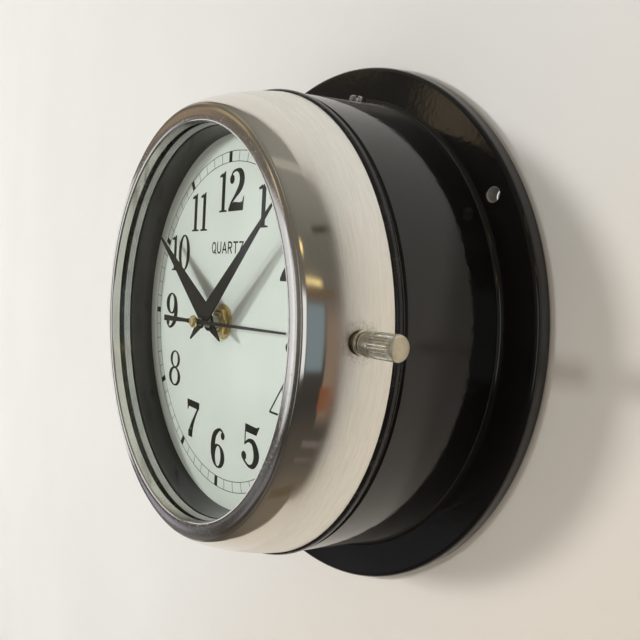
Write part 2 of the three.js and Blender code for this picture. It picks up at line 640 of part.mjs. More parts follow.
function makeGoingTrain() {
  const thirdPinionTeeth = 8;
  const secondsPinionTeeth = 8;
  const thirdTeeth = 60;
  const thirdPhase = meshPhase(TRAIN.third.direction, 0, secondsPinionTeeth, thirdTeeth);
  let third = gear(thirdTeeth, 9.53, -51.7, -50.9, thirdPhase, ...THIRD_AXIS);
  third = third.add(gear(thirdPinionTeeth, 1.2, -53.2, -51.6, 0, ...THIRD_AXIS));
  third = third.add(rod(0.45, -56, -49.6, ...THIRD_AXIS, 10));
  addNode('third_wheel', third, NYLON);

  const secondsTeeth = 36;
  const intermediatePinionTeeth = 6;
  const towardsSeconds = TRAIN.intermediate.direction + Math.PI;
  const secondsPhase = meshPhase(towardsSeconds, 0, intermediatePinionTeeth, secondsTeeth);
  let seconds = gear(secondsTeeth, 7.2, -49.1, -48.3, secondsPhase, 0, 0);
  seconds = seconds.add(gear(secondsPinionTeeth, 1.27, -51.8, -50.6, 0, 0, 0));
  seconds = seconds.add(rod(0.7, -72.8, -42.2, 0, 0, 12));
  addNode('seconds_wheel', seconds, NYLON);

  const intermediateTeeth = 30;
  const rotorPinionTeeth = 6;
  const intermediatePhase = meshPhase(ROTOR_DIRECTION + Math.PI, 0, rotorPinionTeeth, intermediateTeeth);
  let intermediate = gear(intermediateTeeth, 6, -47.9, -47.1, intermediatePhase, ...INTERMEDIATE_AXIS);
  const pinion = gear(intermediatePinionTeeth, 1.2, -49.2, -47.8, 0, ...INTERMEDIATE_AXIS);
  intermediate = intermediate.add(pinion);
  intermediate = intermediate.add(rod(0.4, -49.4, -42.2, ...INTERMEDIATE_AXIS, 10));
  addNode('intermediate_wheel', intermediate, NYLON);
  let rotor = gear(rotorPinionTeeth, 1.2, -48.1, -46.7, 0, ...ROTOR_AXIS);
  rotor = rotor.add(rod(2.4, -46.8, -44.6, ...ROTOR_AXIS));
  rotor = rotor.add(rod(0.4, -49.4, -42.2, ...ROTOR_AXIS, 10));
  addNode('rotor', rotor, STEEL);
}

// ---- movement case and electrics ----
function makeMovementCase() {
  const half = MOVEMENT_HALF;
  let shell = block(-half, half, MOVEMENT_FRONT, MOVEMENT_REAR, -half, half);
  const worksHalf = 26.4;
  const bayHalf = 26.8;
  const open = MOVEMENT_REAR + 1;
  shell = shell.subtract(block(-worksHalf, worksHalf, WORKS_FLOOR, open, BAY_TOP + 1.3, worksHalf));
  shell = shell.subtract(block(-bayHalf, bayHalf, BAY_FLOOR, open, -bayHalf, BAY_TOP));
  shell = shell.subtract(rod(4.3, -60, -55));
  shell = shell.subtract(rod(6.3, -60, -56.85, 0, 0, 20));
  addNode('movement_shell', shell, BLACK_PLASTIC);

  let cover = block(-half, half, MOVEMENT_REAR, MOVEMENT_COVER_REAR, BAY_TOP + 0.2, half);
  cover = cover.subtract(rod(1, -44, -38, ...MOTION_AXIS, 12));
  addNode('movement_cover', cover, BLACK_PLASTIC);

  const reach = 26.1;
  const front = MIDDLE_PLATE_FRONT;
  const back = MIDDLE_PLATE_BACK;
  let middle = block(-reach, reach, front, back, BAY_TOP + 1.6, reach);
  for (const [radius, x, z] of [[0.95, 0, 0], [1.05, ...MOTION_AXIS], [0.65, ...THIRD_AXIS]]) {
    middle = middle.subtract(rod(radius, front - 1, back + 1, x, z));
  }
  addNode('middle_plate', middle, NYLON);
}

function makeElectrics() {
  const outline = [
    [-25, 2.9], [0.5, 2.9], [0.5, 21], [-2.5, 21], [-2.5, 10.6], [-22, 10.6], [-22, 21], [-25, 21],
  ];
  let stator = plate(outline, STATOR_BACK, STATOR_THICKNESS);
  stator = stator.subtract(rod(3, STATOR_BACK - 2, STATOR_BACK + 2, ...ROTOR_AXIS));
  addNode('stator', stator, STEEL);
  addNode('coil_core', block(-25, 0.5, STATOR_BACK, STATOR_BACK + STATOR_THICKNESS, 17.4, 18.8), STEEL);
  const winding = new THREE.LatheGeometry([
    [1.2, -9.2], [2.4, -9.2], [2.4, -8.4], [2, -8.4],
    [2, 8.4], [2.4, 8.4], [2.4, 9.2], [1.2, 9.2], [1.2, -9.2],
  ].map(([r, along]) => new THREE.Vector2(r, along)), SMALL_SIDES);
  winding.rotateZ(Math.PI / 2);
  winding.translate(-12.25, STATOR_BACK + STATOR_THICKNESS / 2, 18.1);
  addNode('coil', solid(winding), COPPER);
  addNode('circuit_board', block(16.5, 25.8, -44.6, -43.6, -10, 25), SOLDER_MASK);
  const crystal = new THREE.CylinderGeometry(1, 1, 6, 12);
  crystal.rotateX(Math.PI / 2);
  crystal.translate(21, -45.6, 18);
  addNode('quartz_crystal', solid(crystal), STEEL);

  const cell = new THREE.LatheGeometry([
    [0, -BATTERY_LENGTH / 2], [5, -BATTERY_LENGTH / 2], [5, -24.9], [BATTERY_R, -24.5], [BATTERY_R, 23.2],
    [6.6, 23.9], [2.75, 23.9], [2.75, BATTERY_LENGTH / 2], [0, BATTERY_LENGTH / 2],
  ].map(([r, along]) => new THREE.Vector2(r, along)), 20);
  cell.rotateZ(-Math.PI / 2);
  cell.translate(0, BATTERY_Y, BATTERY_Z);
  addNode('battery', solid(cell), BATTERY_SLEEVE);
  addNode('battery_contact_positive', block(25.5, 26, -53, -43.5, CONTACT_FOOT, CONTACT_TOP), STEEL);
  addNode('battery_contact_negative', block(-26, -25.5, -53, -43.5, CONTACT_FOOT, CONTACT_TOP), STEEL);
}

makeCase();
makeSideScrew();
makeRearCover();
makeBezelGasket();
makeBezel();
makeGlass();
makeHinge();
makeLatch();
makeDial();
makeHands();
makeMotionWork();
makeGoingTrain();
makeMovementCase();
makeElectrics();

export default clock;
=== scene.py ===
import json
import math

import bmesh
import bpy
from mathutils import Matrix, Vector
from mathutils.geometry import delaunay_2d_cdt


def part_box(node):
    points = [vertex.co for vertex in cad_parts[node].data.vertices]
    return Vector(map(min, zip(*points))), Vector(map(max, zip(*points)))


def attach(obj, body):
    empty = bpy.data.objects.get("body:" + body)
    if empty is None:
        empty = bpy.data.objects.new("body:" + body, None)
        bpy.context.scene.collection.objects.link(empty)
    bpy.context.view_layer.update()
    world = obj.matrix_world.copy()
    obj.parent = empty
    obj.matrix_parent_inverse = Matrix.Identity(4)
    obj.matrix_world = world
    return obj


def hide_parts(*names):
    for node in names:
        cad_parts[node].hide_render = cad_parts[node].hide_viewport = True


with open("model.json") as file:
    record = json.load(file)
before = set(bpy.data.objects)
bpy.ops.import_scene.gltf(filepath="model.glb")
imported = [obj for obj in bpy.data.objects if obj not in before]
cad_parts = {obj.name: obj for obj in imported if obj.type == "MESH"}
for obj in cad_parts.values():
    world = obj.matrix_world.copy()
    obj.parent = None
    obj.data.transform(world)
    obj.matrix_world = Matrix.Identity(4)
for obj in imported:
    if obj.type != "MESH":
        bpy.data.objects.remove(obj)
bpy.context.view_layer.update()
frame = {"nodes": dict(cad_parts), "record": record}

# The frame is the row's: +Z up, the dial faces -Y, the wall is y = 0. Shapes are drawn in millimetres;
# the node graphs, the stage, the lights and the camera are in metres.
MM = 0.001
ROUND = 288
SMALL_ROUND = 64
TINY_ROUND = 40


def span(node):
    """Lowest and highest corner of a CAD node, in millimetres."""
    low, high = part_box(node)
    return low / MM, high / MM


def polar(radius, degrees):
    """The (x, z) of a point on a circle about the clock's axis; 0 degrees is 3 o'clock, 90 is 12."""
    return radius * math.cos(math.radians(degrees)), radius * math.sin(math.radians(degrees))


# ---- places read from the frame ----
CASE_LOW, CASE_HIGH = span("case_body")
BEZEL_LOW, BEZEL_HIGH = span("bezel")
GLASS_LOW, GLASS_HIGH = span("glass")
DIAL_LOW, DIAL_HIGH = span("dial_plate")
RING_LOW, _ = span("dial_ring")
FLANGE_R = CASE_HIGH.x
COLLAR_FRONT = CASE_LOW.y
BEZEL_CREST = BEZEL_LOW.y
BEZEL_REAR = BEZEL_HIGH.y
BEZEL_REAR_R = BEZEL_HIGH.x
GLASS_R = GLASS_HIGH.x
GLASS_FRONT = GLASS_LOW.y
GLASS_REAR = GLASS_HIGH.y
DIAL_R = DIAL_HIGH.x
DIAL_FACE = DIAL_LOW.y
DIAL_BACK = DIAL_HIGH.y
DIAL_RING_FRONT = RING_LOW.y
SHOULDER = span("bezel_gasket")[1].y

# ---- sizes shared by several pieces ----
FLANGE_FRONT = -6.3
DRUM_BASE_R = 99.5
DRUM_FRONT_R = 95.8
DRUM_FRONT = -46.9
CAVITY_R = 92.5
COLLAR_R = 87.2
COLLAR_BORE = 84.4
COVER_SCREW_CIRCLE = 86
FIXING_CIRCLE = 106.4
FIXING_ANGLES = (30, 150, 270)
DIAL_SCREW_CIRCLE = 82.05
DIAL_SCREW_ANGLES = (60, 180, 300)
RETAINER_SCREW_CIRCLE = 84.6
QUARTER_ANGLES = (45, 135, 225, 315)
LATCH_ANGLE = 1.3
LATCH_Y = -63.25
LATCH_FOOT = (0.0932, LATCH_Y * MM, 0.0021)
HINGE_X = -99.2
HINGE_Y = -49.9
CASE_LEAF_SCREW_Y, CASE_LEAF_SCREW_Z = -41, 8
BEZEL_LEAF_SCREW_Y, BEZEL_LEAF_SCREW_Z = -58.5, 6
COVER_R = 88
COVER_THICKNESS = 1.5
COVER_SEAT_R = 84
COVER_SEAT_BACK = -4.5
DIAL_LEDGE_R = 80.5
DIAL_LEDGE_BACK = -54.5
DIAL_RING_SEAT = -61
RETAINER_BORE = 78.5
RETAINER_FRONT = -73.9
RETAINER_SEAT = -72.2
RETAINER_REAR = -70.8
RETAINER_R = 86.3


# ---- node graphs ----
class Graph:
    """A material's node graph, built by short calls that return sockets."""

    def __init__(self, name):
        self.material = bpy.data.materials.new(name)
        self.material.use_nodes = True
        self.tree = self.material.node_tree
        self.tree.nodes.clear()
        self._turned = None

    def add(self, kind, inputs=None, **settings):
        node = self.tree.nodes.new("ShaderNode" + kind)
        for key, value in settings.items():
            setattr(node, key, value)
        for key, value in (inputs or {}).items():
            if isinstance(value, bpy.types.NodeSocket):
                self.tree.links.new(value, node.inputs[key])
            else:
                node.inputs[key].default_value = value
        return node

    def math(self, operation, *values):
        return self.add("Math", dict(enumerate(values)), operation=operation).outputs[0]

    def times(self, first, second):
        return self.math("MULTIPLY", first, second)

    def plus(self, first, second):
        return self.math("ADD", first, second)

    def place(self):
        """Object coordinates, in metres in the row frame."""
        return self.add("TexCoord").outputs["Object"]

    def coordinates(self):
        """The x, y and z of the place, each on its own."""
        return self.add("SeparateXYZ", {0: self.place()}).outputs

    def turned(self):
        """Radius, y and the cosine and sine of the angle about the clock's axis."""
        if self._turned is None:
            x, y, z = self.coordinates()
            radius = self.math("SQRT", self.plus(self.times(x, x), self.times(z, z)))
            self._turned = radius, y, self.math("DIVIDE", x, radius), self.math("DIVIDE", z, radius)
        return self._turned

    def noise(self, scale, detail=3.0, roughness=0.5, stretch=None, distortion=0.0):
        vector = self.place()
        if stretch:
            vector = self.add("Mapping", {"Vector": vector, "Scale": stretch}).outputs[0]
        inputs = {"Vector": vector, "Scale": scale, "Detail": detail, "Roughness": roughness}
        return self.add("TexNoise", {**inputs, "Distortion": distortion}).outputs["Fac"]

    def lathe_marks(self, across, along, detail=4.0, roughness=0.6):
        """Noise drawn out along the direction of turning; across and along are marks to a metre."""
        radius, y, cosine, sine = self.turned()
        vector = self.add("CombineXYZ", {
            0: self.times(radius, across),
            1: self.times(y, across),
            2: self.times(cosine, along),
        }).outputs[0]
        w = self.times(sine, along)
        inputs = {"Vector": vector, "W": w, "Scale": 1.0, "Detail": detail, "Roughness": roughness}
        return self.add("TexNoise", inputs, noise_dimensions="4D").outputs["Fac"]

    def between(self, value, low, high, to_low=0.0, to_high=1.0):
        """Carries value from low..high to to_low..to_high, held at the ends."""
        inputs = {0: value, 1: low, 2: high, 3: to_low, 4: to_high}
        return self.add("MapRange", inputs, interpolation_type="SMOOTHSTEP").outputs[0]

    def mix(self, factor, first, second):
        node = self.add("Mix", {0: factor}, data_type="RGBA")
        for index, colour in ((6, first), (7, second)):
            if isinstance(colour, bpy.types.NodeSocket):
                self.tree.links.new(colour, node.inputs[index])
            else:
                node.inputs[index].default_value = (*colour, 1.0)
        return node.outputs[2]

    def bump(self, height, depth, strength=1.0, normal=None):
        inputs = {"Height": height, "Distance": depth * MM, "Strength": strength}
        if normal is not None:
            inputs["Normal"] = normal
        return self.add("Bump", inputs).outputs[0]

    def principled(self, colour, roughness, metallic=0.0, **extra):
        inputs = {"Roughness": roughness, "Metallic": metallic}
        inputs.update({key.replace("_", " "): value for key, value in extra.items()})
        node = self.add("BsdfPrincipled", inputs)
        if isinstance(colour, bpy.types.NodeSocket):
            self.tree.links.new(colour, node.inputs["Base Color"])
        else:
            node.inputs["Base Color"].default_value = (*colour, 1.0)
        return node.outputs[0]

    def away(self, point):
        """Distance in metres from a fixed point."""
        inputs = {0: self.place(), 1: point}
        return self.add("VectorMath", inputs, operation="DISTANCE").outputs["Value"]

    def finish(self, shader):
        output = self.add("OutputMaterial")
        self.tree.links.new(shader, output.inputs["Surface"])
        return self.material

    def surface(self, colour, roughness, metallic=0.0, **extra):
        """Closes the graph with one principled shader."""
        return self.finish(self.principled(colour, roughness, metallic, **extra))


# ---- finishes ----
BARE_METAL_REACH = (0.0029, 0.0027)


def enamel():
    """Stoved gloss black: orange peel, dust nibs, dull scuffs, and bare metal inside the fixing holes."""
    g = Graph("enamel")
    peel = g.noise(420, 2.0, 0.45)
    broad = g.noise(45, 3.0, 0.5)
    nibs = g.between(g.noise(2600, 1.0, 0.5), 0.74, 0.80)
    scuffs = g.between(g.noise(70, 6.0, 0.7, (1, 1, 2.4)), 0.60, 0.76)
    colour = g.mix(scuffs, (0.006, 0.0058, 0.0056), (0.020, 0.018, 0.016))
    x, _, z = g.coordinates()
    flat = g.add("CombineXYZ", {0: x, 2: z}).outputs[0]
    for angle in FIXING_ANGLES:
        hole_x, hole_z = polar(FIXING_CIRCLE * MM, angle)
        away = g.add("VectorMath", {0: flat, 1: (hole_x, 0, hole_z)}, operation="DISTANCE").outputs["Value"]
        colour = g.mix(g.between(away, *BARE_METAL_REACH), colour, (0.40, 0.39, 0.38))
    roughness = g.plus(g.between(broad, 0.3, 0.7, 0.05, 0.10), g.times(scuffs, 0.14))
    grain = g.noise(1300, 3.0, 0.6)
    normal = g.bump(broad, 0.2, 0.3)
    normal = g.bump(peel, 0.05, 0.7, normal)
    normal = g.bump(nibs, 0.03, 0.5, normal)
    normal = g.bump(grain, 0.012, 0.5, normal)
    gloss = {"Specular_IOR_Level": 0.55, "Sheen_Weight": 0.28, "Sheen_Roughness": 0.3}
    return g.surface(colour, roughness, Normal=normal, **gloss)


def turned_metal(name, pale, dark, smooth, dull, across=9000, along=5, mark_depth=0.004, tarnish=0.35):
    """Metal off the lathe: fine rings, patchy tarnish and a roughness that follows both."""
    g = Graph(name)
    rings = g.lathe_marks(across, along)
    coarse = g.lathe_marks(across * 0.12, along * 2)
    patches = g.between(g.noise(130, 5.0, 0.62), 0.42, 0.70)
    colour = g.mix(g.times(patches, tarnish), pale, dark)
    roughness = g.plus(g.between(rings, 0.3, 0.7, smooth, dull), g.times(patches, 0.08))
    normal = g.bump(rings, mark_depth, 0.8, g.bump(coarse, mark_depth * 3, 0.5))
    return g.surface(colour, roughness, 1.0, Anisotropic=0.5, Normal=normal)


SATIN_FROM, SATIN_TO = -0.0725, -0.0655
LIP_OUTER, LIP_INNER = 0.0838, 0.0825
FRONT_OUTER, FRONT_INNER = 0.0852, 0.0844
RUBBED_REACH = (0.0085, 0.0048)


def bezel_aluminium():
    """Turned aluminium: buffed front and shoulder, satin skirt, fine handling marks, rubbed at the screw."""
    g = Graph("bezel_aluminium")
    radius, y, _, _ = g.turned()
    satin = g.between(y, SATIN_FROM, SATIN_TO)
    lip = g.between(radius, LIP_OUTER, LIP_INNER)
    streaks = g.lathe_marks(14000, 7)
    coarse = g.lathe_marks(1900, 10)
    waves = g.lathe_marks(300, 14, 2.0, 0.5)
    hair = g.between(g.lathe_marks(5200, 60, 2.0), 0.60, 0.72)
    cloud = g.noise(60, 4.0, 0.6)
    stain = g.between(g.noise(240, 5.0, 0.7), 0.60, 0.80)
    pale = g.mix(satin, (0.80, 0.77, 0.72), (0.93, 0.92, 0.87))
    drawn = g.between(g.lathe_marks(2600, 9, 5.0, 0.7), 0.35, 0.68)
    pale = g.mix(g.times(drawn, g.times(satin, 0.30)), pale, (0.62, 0.58, 0.52))
    colour = g.mix(g.times(stain, 0.22), pale, (0.45, 0.40, 0.33))
    rub_marks = g.between(g.noise(700, 5.0, 0.7), 0.42, 0.62)
    rubbed = g.times(g.between(g.away(LATCH_FOOT), *RUBBED_REACH), rub_marks)
    colour = g.mix(g.times(rubbed, 0.55), colour, (0.42, 0.38, 0.32))
    front = g.between(radius, FRONT_OUTER, FRONT_INNER)
    scuffs = g.times(front, g.between(g.noise(1500, 6.0, 0.75, (1, 1, 0.6), 0.8), 0.50, 0.66))
    colour = g.mix(g.times(scuffs, 0.30), colour, (0.95, 0.95, 0.97))
    buffed = g.plus(g.between(cloud, 0.3, 0.7, 0.07, 0.12), g.times(hair, 0.05))
    buffed = g.plus(buffed, g.times(lip, 0.04))
    buffed = g.plus(buffed, g.times(scuffs, 0.14))
    brushed = g.between(streaks, 0.3, 0.7, 0.27, 0.38)
    roughness = g.add("Mix", {0: satin, 2: buffed, 3: brushed}).outputs[0]
    depth = g.between(satin, 0.0, 1.0, 0.15, 0.75)
    normal = g.bump(waves, 0.02, 0.35)
    normal = g.bump(coarse, 0.010, depth, normal)
    normal = g.bump(streaks, 0.0035, depth, normal)
    tangent = g.add("Tangent", direction_type="RADIAL", axis="Y").outputs[0]
    return g.surface(colour, roughness, 1.0, Anisotropic=g.between(satin, 0, 1, 0.15, 0.55),
                     Tangent=tangent, Normal=normal)


KNOB_FACE_FROM, KNOB_FACE_TO = 0.1088, 0.1093


def worn_nickel():
    """Nickel plate, mottled and grimy, bright on its edges and worn to brass on the knob's end."""
    g = Graph("worn_nickel")
    mottle = g.between(g.noise(900, 6.0, 0.65), 0.38, 0.66)
    grime = g.between(g.noise(420, 5.0, 0.7, distortion=0.6), 0.50, 0.72)
    edge = g.between(g.add("NewGeometry").outputs["Pointiness"], 0.505, 0.56)
    face = g.between(g.coordinates()[0], KNOB_FACE_FROM, KNOB_FACE_TO)
    plate = g.mix(mottle, (0.72, 0.68, 0.58), (0.58, 0.53, 0.42))
    plate = g.mix(g.times(face, 0.55), plate, (0.55, 0.46, 0.25))
    plate = g.mix(g.times(grime, 0.45), plate, (0.20, 0.16, 0.10))
    colour = g.mix(edge, plate, (0.80, 0.76, 0.66))
    roughness = g.plus(g.between(mottle, 0, 1, 0.14, 0.26), g.times(face, 0.25))
    normal = g.bump(g.noise(2200, 4.0, 0.6), 0.02, 0.25)
    return g.surface(colour, roughness, 0.86, Normal=normal)


def steel():
    """Zinc-plated steel, slightly cloudy."""
    g = Graph("steel")
    cloud = g.noise(700, 5.0, 0.6)
    colour = g.mix(g.between(cloud, 0.35, 0.7), (0.62, 0.61, 0.58), (0.42, 0.40, 0.36))
    normal = g.bump(g.noise(3000, 3.0), 0.01, 0.3)
    return g.surface(colour, g.between(cloud, 0.3, 0.7, 0.22, 0.38), 1.0, Normal=normal)


def brass():
    """Turned brass gone slightly dark."""
    g = Graph("brass")
    cloud = g.noise(500, 5.0, 0.65)
    rings = g.lathe_marks(9000, 4)
    colour = g.mix(g.between(cloud, 0.42, 0.72), (0.92, 0.74, 0.36), (0.55, 0.39, 0.14))
    roughness = g.plus(g.between(rings, 0.3, 0.7, 0.16, 0.28), g.between(cloud, 0.4, 0.7, 0.0, 0.1))
    return g.surface(colour, roughness, 0.68, Normal=g.bump(rings, 0.004, 0.7))


def rubber():
    """Moulded black rubber with a faint bloom."""
    g = Graph("rubber")
    grain = g.noise(1800, 4.0, 0.6)
    bloom = g.between(g.noise(150, 4.0, 0.6), 0.45, 0.75)
    colour = g.mix(bloom, (0.010, 0.010, 0.011), (0.030, 0.029, 0.028))
    return g.surface(colour, g.between(bloom, 0, 1, 0.22, 0.36), Normal=g.bump(grain, 0.02, 0.35))


MIRROR_FACE_ON, MIRROR_AT_EDGE, MIRROR_POWER = 0.012, 0.40, 4.5


def clear_glass():
    """Window glass: clear, with a soft reflection and a trace of dust."""
    g = Graph("glass")
    normal = g.bump(g.noise(14, 2.0), 0.04, 0.2)
    dust = g.between(g.noise(1500, 4.0, 0.7), 0.66, 0.80)
    clear = g.add("BsdfTransparent", {"Color": (0.992, 0.998, 0.995, 1)}).outputs[0]
    gloss = g.add("BsdfGlossy", {"Color": (1, 1, 1, 1), "Roughness": 0.02, "Normal": normal}).outputs[0]
    speck = g.add("BsdfDiffuse", {"Color": (0.75, 0.74, 0.70, 1)}).outputs[0]
    facing = g.add("LayerWeight", {"Blend": 0.5, "Normal": normal}).outputs["Facing"]
    mirror = g.plus(MIRROR_FACE_ON, g.times(MIRROR_AT_EDGE, g.math("POWER", facing, MIRROR_POWER)))
    pane = g.add("MixShader", {0: mirror, 1: clear, 2: gloss}).outputs[0]
    return g.finish(g.add("MixShader", {0: g.times(dust, 0.02), 1: pane, 2: speck}).outputs[0])


def dial_paint():
    """Pale satin paint with a faint green cast, fine stipple and a little mottling."""
    g = Graph("dial_paint")
    cloud = g.noise(35, 4.0, 0.55)
    stipple = g.noise(2600, 3.0, 0.6)
    speck = g.between(g.noise(1300, 2.0, 0.5), 0.76, 0.80)
    colour = g.mix(g.between(cloud, 0.3, 0.7), (0.79, 0.85, 0.80), (0.75, 0.81, 0.765))
    colour = g.mix(g.times(speck, 0.25), colour, (0.40, 0.40, 0.34))
    normal = g.bump(stipple, 0.012, 0.4)
    return g.surface(colour, g.between(stipple, 0.3, 0.7, 0.34, 0.46), Normal=normal)


def ring_lacquer():
    """Dark brown-black lacquer with drawn streaks and dust."""
    g = Graph("dial_ring_lacquer")
    streaks = g.lathe_marks(900, 18)
    cloud = g.noise(90, 4.0, 0.6)
    dust = g.between(g.noise(2200, 3.0, 0.6), 0.70, 0.78)
    colour = g.mix(g.between(cloud, 0.35, 0.7), (0.009, 0.008, 0.006), (0.015, 0.013, 0.010))
    colour = g.mix(g.times(dust, 0.20), colour, (0.16, 0.14, 0.12))
    roughness = g.between(streaks, 0.3, 0.7, 0.14, 0.24)
    return g.surface(colour, roughness, Normal=g.bump(streaks, 0.006, 0.3))


def coat(name, scale, pale, dark, roughness, gloss, depth, strength):
    """A thin satin coat, such as ink or lacquer, whose one fine grain shows in colour, gloss and height."""
    g = Graph(name)
    grain = g.noise(scale, 4.0, 0.6)
    colour = g.mix(g.between(grain, 0.35, 0.7), pale, dark)
    return g.surface(colour, g.between(grain, 0.3, 0.7, *roughness), Specular_IOR_Level=gloss,
                     Normal=g.bump(grain, depth, strength))


def moulded(name, pale, dark, smooth, dull, grain=1600):
    """A moulded or pressed material with a fine texture."""
    g = Graph(name)
    texture = g.noise(grain, 4.0, 0.6)
    cloud = g.noise(160, 4.0, 0.6)
    colour = g.mix(g.between(cloud, 0.35, 0.7), pale, dark)
    return g.surface(colour, g.between(texture, 0.3, 0.7, smooth, dull),
                     Normal=g.bump(texture, 0.02, 0.4))


WIRE_TURNS = 36000
BATTERY_BAND = (0.0120, 0.0124)


def winding():
    """Enamelled copper wire laid side by side, with painted shade darkening the grooves between turns."""
    g = Graph("copper_winding")
    turns = g.math("SINE", g.times(g.coordinates()[0], WIRE_TURNS))
    # Painted shade: dark copper in the grooves between turns, bright copper on their crests.
    colour = g.mix(g.between(turns, -1, 1), (0.30, 0.09, 0.03), (0.72, 0.30, 0.13))
    return g.surface(colour, g.between(turns, -1, 1, 0.45, 0.22), 0.8, Normal=g.bump(turns, 0.03, 0.6))


def board():
    """Green solder mask over the trace pattern."""
    g = Graph("circuit_laminate")
    traces = g.add("TexBrick", {"Vector": g.place(), "Scale": 260.0, "Mortar Size": 0.03}).outputs["Fac"]
    cloud = g.noise(300, 3.0)
    colour = g.mix(traces, (0.03, 0.17, 0.06), (0.07, 0.28, 0.11))
    return g.surface(colour, g.between(cloud, 0.3, 0.7, 0.22, 0.36), Normal=g.bump(traces, 0.03, 0.5))


def battery_jacket():
    """Shrink sleeve in two dark bands with a fine wrinkle."""
    g = Graph("battery_jacket")
    band = g.between(g.coordinates()[0], *BATTERY_BAND)
    wrinkle = g.noise(380, 3.0, 0.5, (0.4, 1, 1))
    colour = g.mix(band, (0.045, 0.050, 0.060), (0.52, 0.36, 0.15))
    return g.surface(colour, g.between(wrinkle, 0.3, 0.7, 0.18, 0.30), 0.2,
                     Normal=g.bump(wrinkle, 0.04, 0.3))


FINISH = {
    "enamel": enamel(),
    "bezel_aluminium": bezel_aluminium(),
    "ring_aluminium": turned_metal("ring_aluminium", (0.86, 0.86, 0.85), (0.55, 0.54, 0.52), 0.24, 0.40),
    "steel": steel(),
    "nickel": worn_nickel(),
    "brass": brass(),
    "rubber": rubber(),
    "glass": clear_glass(),
    "dial_paint": dial_paint(),
    "dial_ring_lacquer": ring_lacquer(),
    "hand_lacquer": coat("hand_lacquer", 1500, (0.016, 0.015, 0.011), (0.027, 0.025, 0.019), (0.38, 0.50),
                         0.12, 0.015, 0.3),
    "black_plastic": moulded("black_plastic", (0.016, 0.016, 0.017), (0.030, 0.030, 0.031), 0.38, 0.52),
    "nylon": moulded("nylon", (0.78, 0.76, 0.70), (0.68, 0.66, 0.59), 0.40, 0.52),
    "circuit_laminate": board(),
    "copper_winding": winding(),
    "battery_jacket": battery_jacket(),
}
INK = coat("printing_ink", 900, (0.012, 0.012, 0.009), (0.028, 0.027, 0.021), (0.50, 0.62), 0.2, 0.008, 0.4)
AGED_BRASS = turned_metal("aged_brass", (0.42, 0.34, 0.20), (0.20, 0.16, 0.09), 0.26, 0.42)
SLOT_OF = {row["node"]: row["material_slot"] for row in frame["record"]["subparts"]}
BODY_OF = {node: body for body, nodes in frame["record"]["behaviour"]["bodies"].items() for node in nodes}


# ---- mesh helpers ----
STRAIGHT_HALF_ANGLE = math.radians(88.5)
LEFT = (-1, 0, 0)
REARWARD = (0, 1, 0)
UPRIGHT = Matrix.Rotation(math.radians(90), 4, "X")


def new_object(name, mesh):
    thing = bpy.data.objects.new(name, mesh)
    bpy.context.scene.collection.objects.link(thing)
    return thing


def rounded(corners, steps=5):
    """Closed outline from (u, v, radius) corners, each rounded by an arc of its radius."""
    outline = []
    for i, (u, v, radius) in enumerate(corners):
        corner = Vector((u, v))
        before = Vector(corners[i - 1][:2]) - corner
        after = Vector(corners[(i + 1) % len(corners)][:2]) - corner
        half = before.angle(after) / 2
        if radius <= 0 or half > STRAIGHT_HALF_ANGLE:
            outline.append((u, v))
            continue
        back = min(radius / math.tan(half), 0.49 * before.length, 0.49 * after.length)
        real_radius = back * math.tan(half)
        inward = (before.normalized() + after.normalized()).normalized()
        centre = corner + inward * (real_radius / math.sin(half))
        first = corner + before.normalized() * back - centre
        last = corner + after.normalized() * back - centre
        sweep = math.atan2(first.x * last.y - first.y * last.x, first.dot(last))
        for k in range(steps + 1):
            turn = Matrix.Rotation(sweep * k / steps, 2)
            outline.append(tuple(centre + turn @ first))
    return outline


def smooth_run(points, per_span=6):
    """A curve through the points, which may carry any number of values each."""
    run = []
    last = len(points) - 1
    for i in range(last):
        p0, p1, p2, p3 = (Vector(points[max(0, min(last, i + k))]) for k in (-1, 0, 1, 2))
        for k in range(per_span):
            t = k / per_span
            run.append(tuple(0.5 * (2 * p1 + (p2 - p0) * t + (2 * p0 - 5 * p1 + 4 * p2 - p3) * t * t
                                    + (3 * p1 - p0 - 3 * p2 + p3) * t ** 3)))
    run.append(tuple(points[-1]))
    return run


def lathe(profile, segments=ROUND, radius_at=None):
    """A mesh turned about Y from a closed profile of (radius, y); a point on the axis becomes one vertex.
    radius_at(radius, y, angle) may change the radius round the piece."""
    work = bmesh.new()
    rings = []
    for radius, y in profile:
        if radius < 1e-6:
            rings.append([work.verts.new((0, y, 0))] * segments)
            continue
        ring = []
        for k in range(segments):
            angle = 2 * math.pi * k / segments
            r = radius_at(radius, y, angle) if radius_at else radius
            ring.append(work.verts.new((r * math.cos(angle), y, r * math.sin(angle))))
        rings.append(ring)
    for first, second in zip(rings, rings[1:] + rings[:1]):
        for k in range(segments):
            n = (k + 1) % segments
            corners = []
            for vert in (first[k], first[n], second[n], second[k]):
                if vert not in corners:
                    corners.append(vert)
            if len(corners) > 2:
                work.faces.new(corners)
    return finished_mesh(work)


def finished_mesh(work):
    """Turns a bmesh in millimetres into a mesh in metres with outward faces."""
    bmesh.ops.recalc_face_normals(work, faces=work.faces)
    bmesh.ops.scale(work, vec=(MM, MM, MM), verts=work.verts)
    mesh = bpy.data.meshes.new("work")
    work.to_mesh(mesh)
    work.free()
    return mesh


def moved(mesh, x=0.0, y=0.0, z=0.0, turn=None):
    """The mesh turned by a matrix and then shifted in millimetres."""
    if turn is not None:
        mesh.transform(turn.to_4x4())
    mesh.transform(Matrix.Translation(Vector((x, y, z)) * MM))
    return mesh


def evaluated(mesh, modify):
    """The mesh after the modifiers that modify(object) adds to it."""
    carrier = new_object("carrier", mesh)
    extras = modify(carrier) or []
    bpy.context.view_layer.update()
    result = bpy.data.meshes.new_from_object(carrier.evaluated_get(bpy.context.evaluated_depsgraph_get()))
    for thing in [carrier, *extras]:
        bpy.data.objects.remove(thing)
    return result


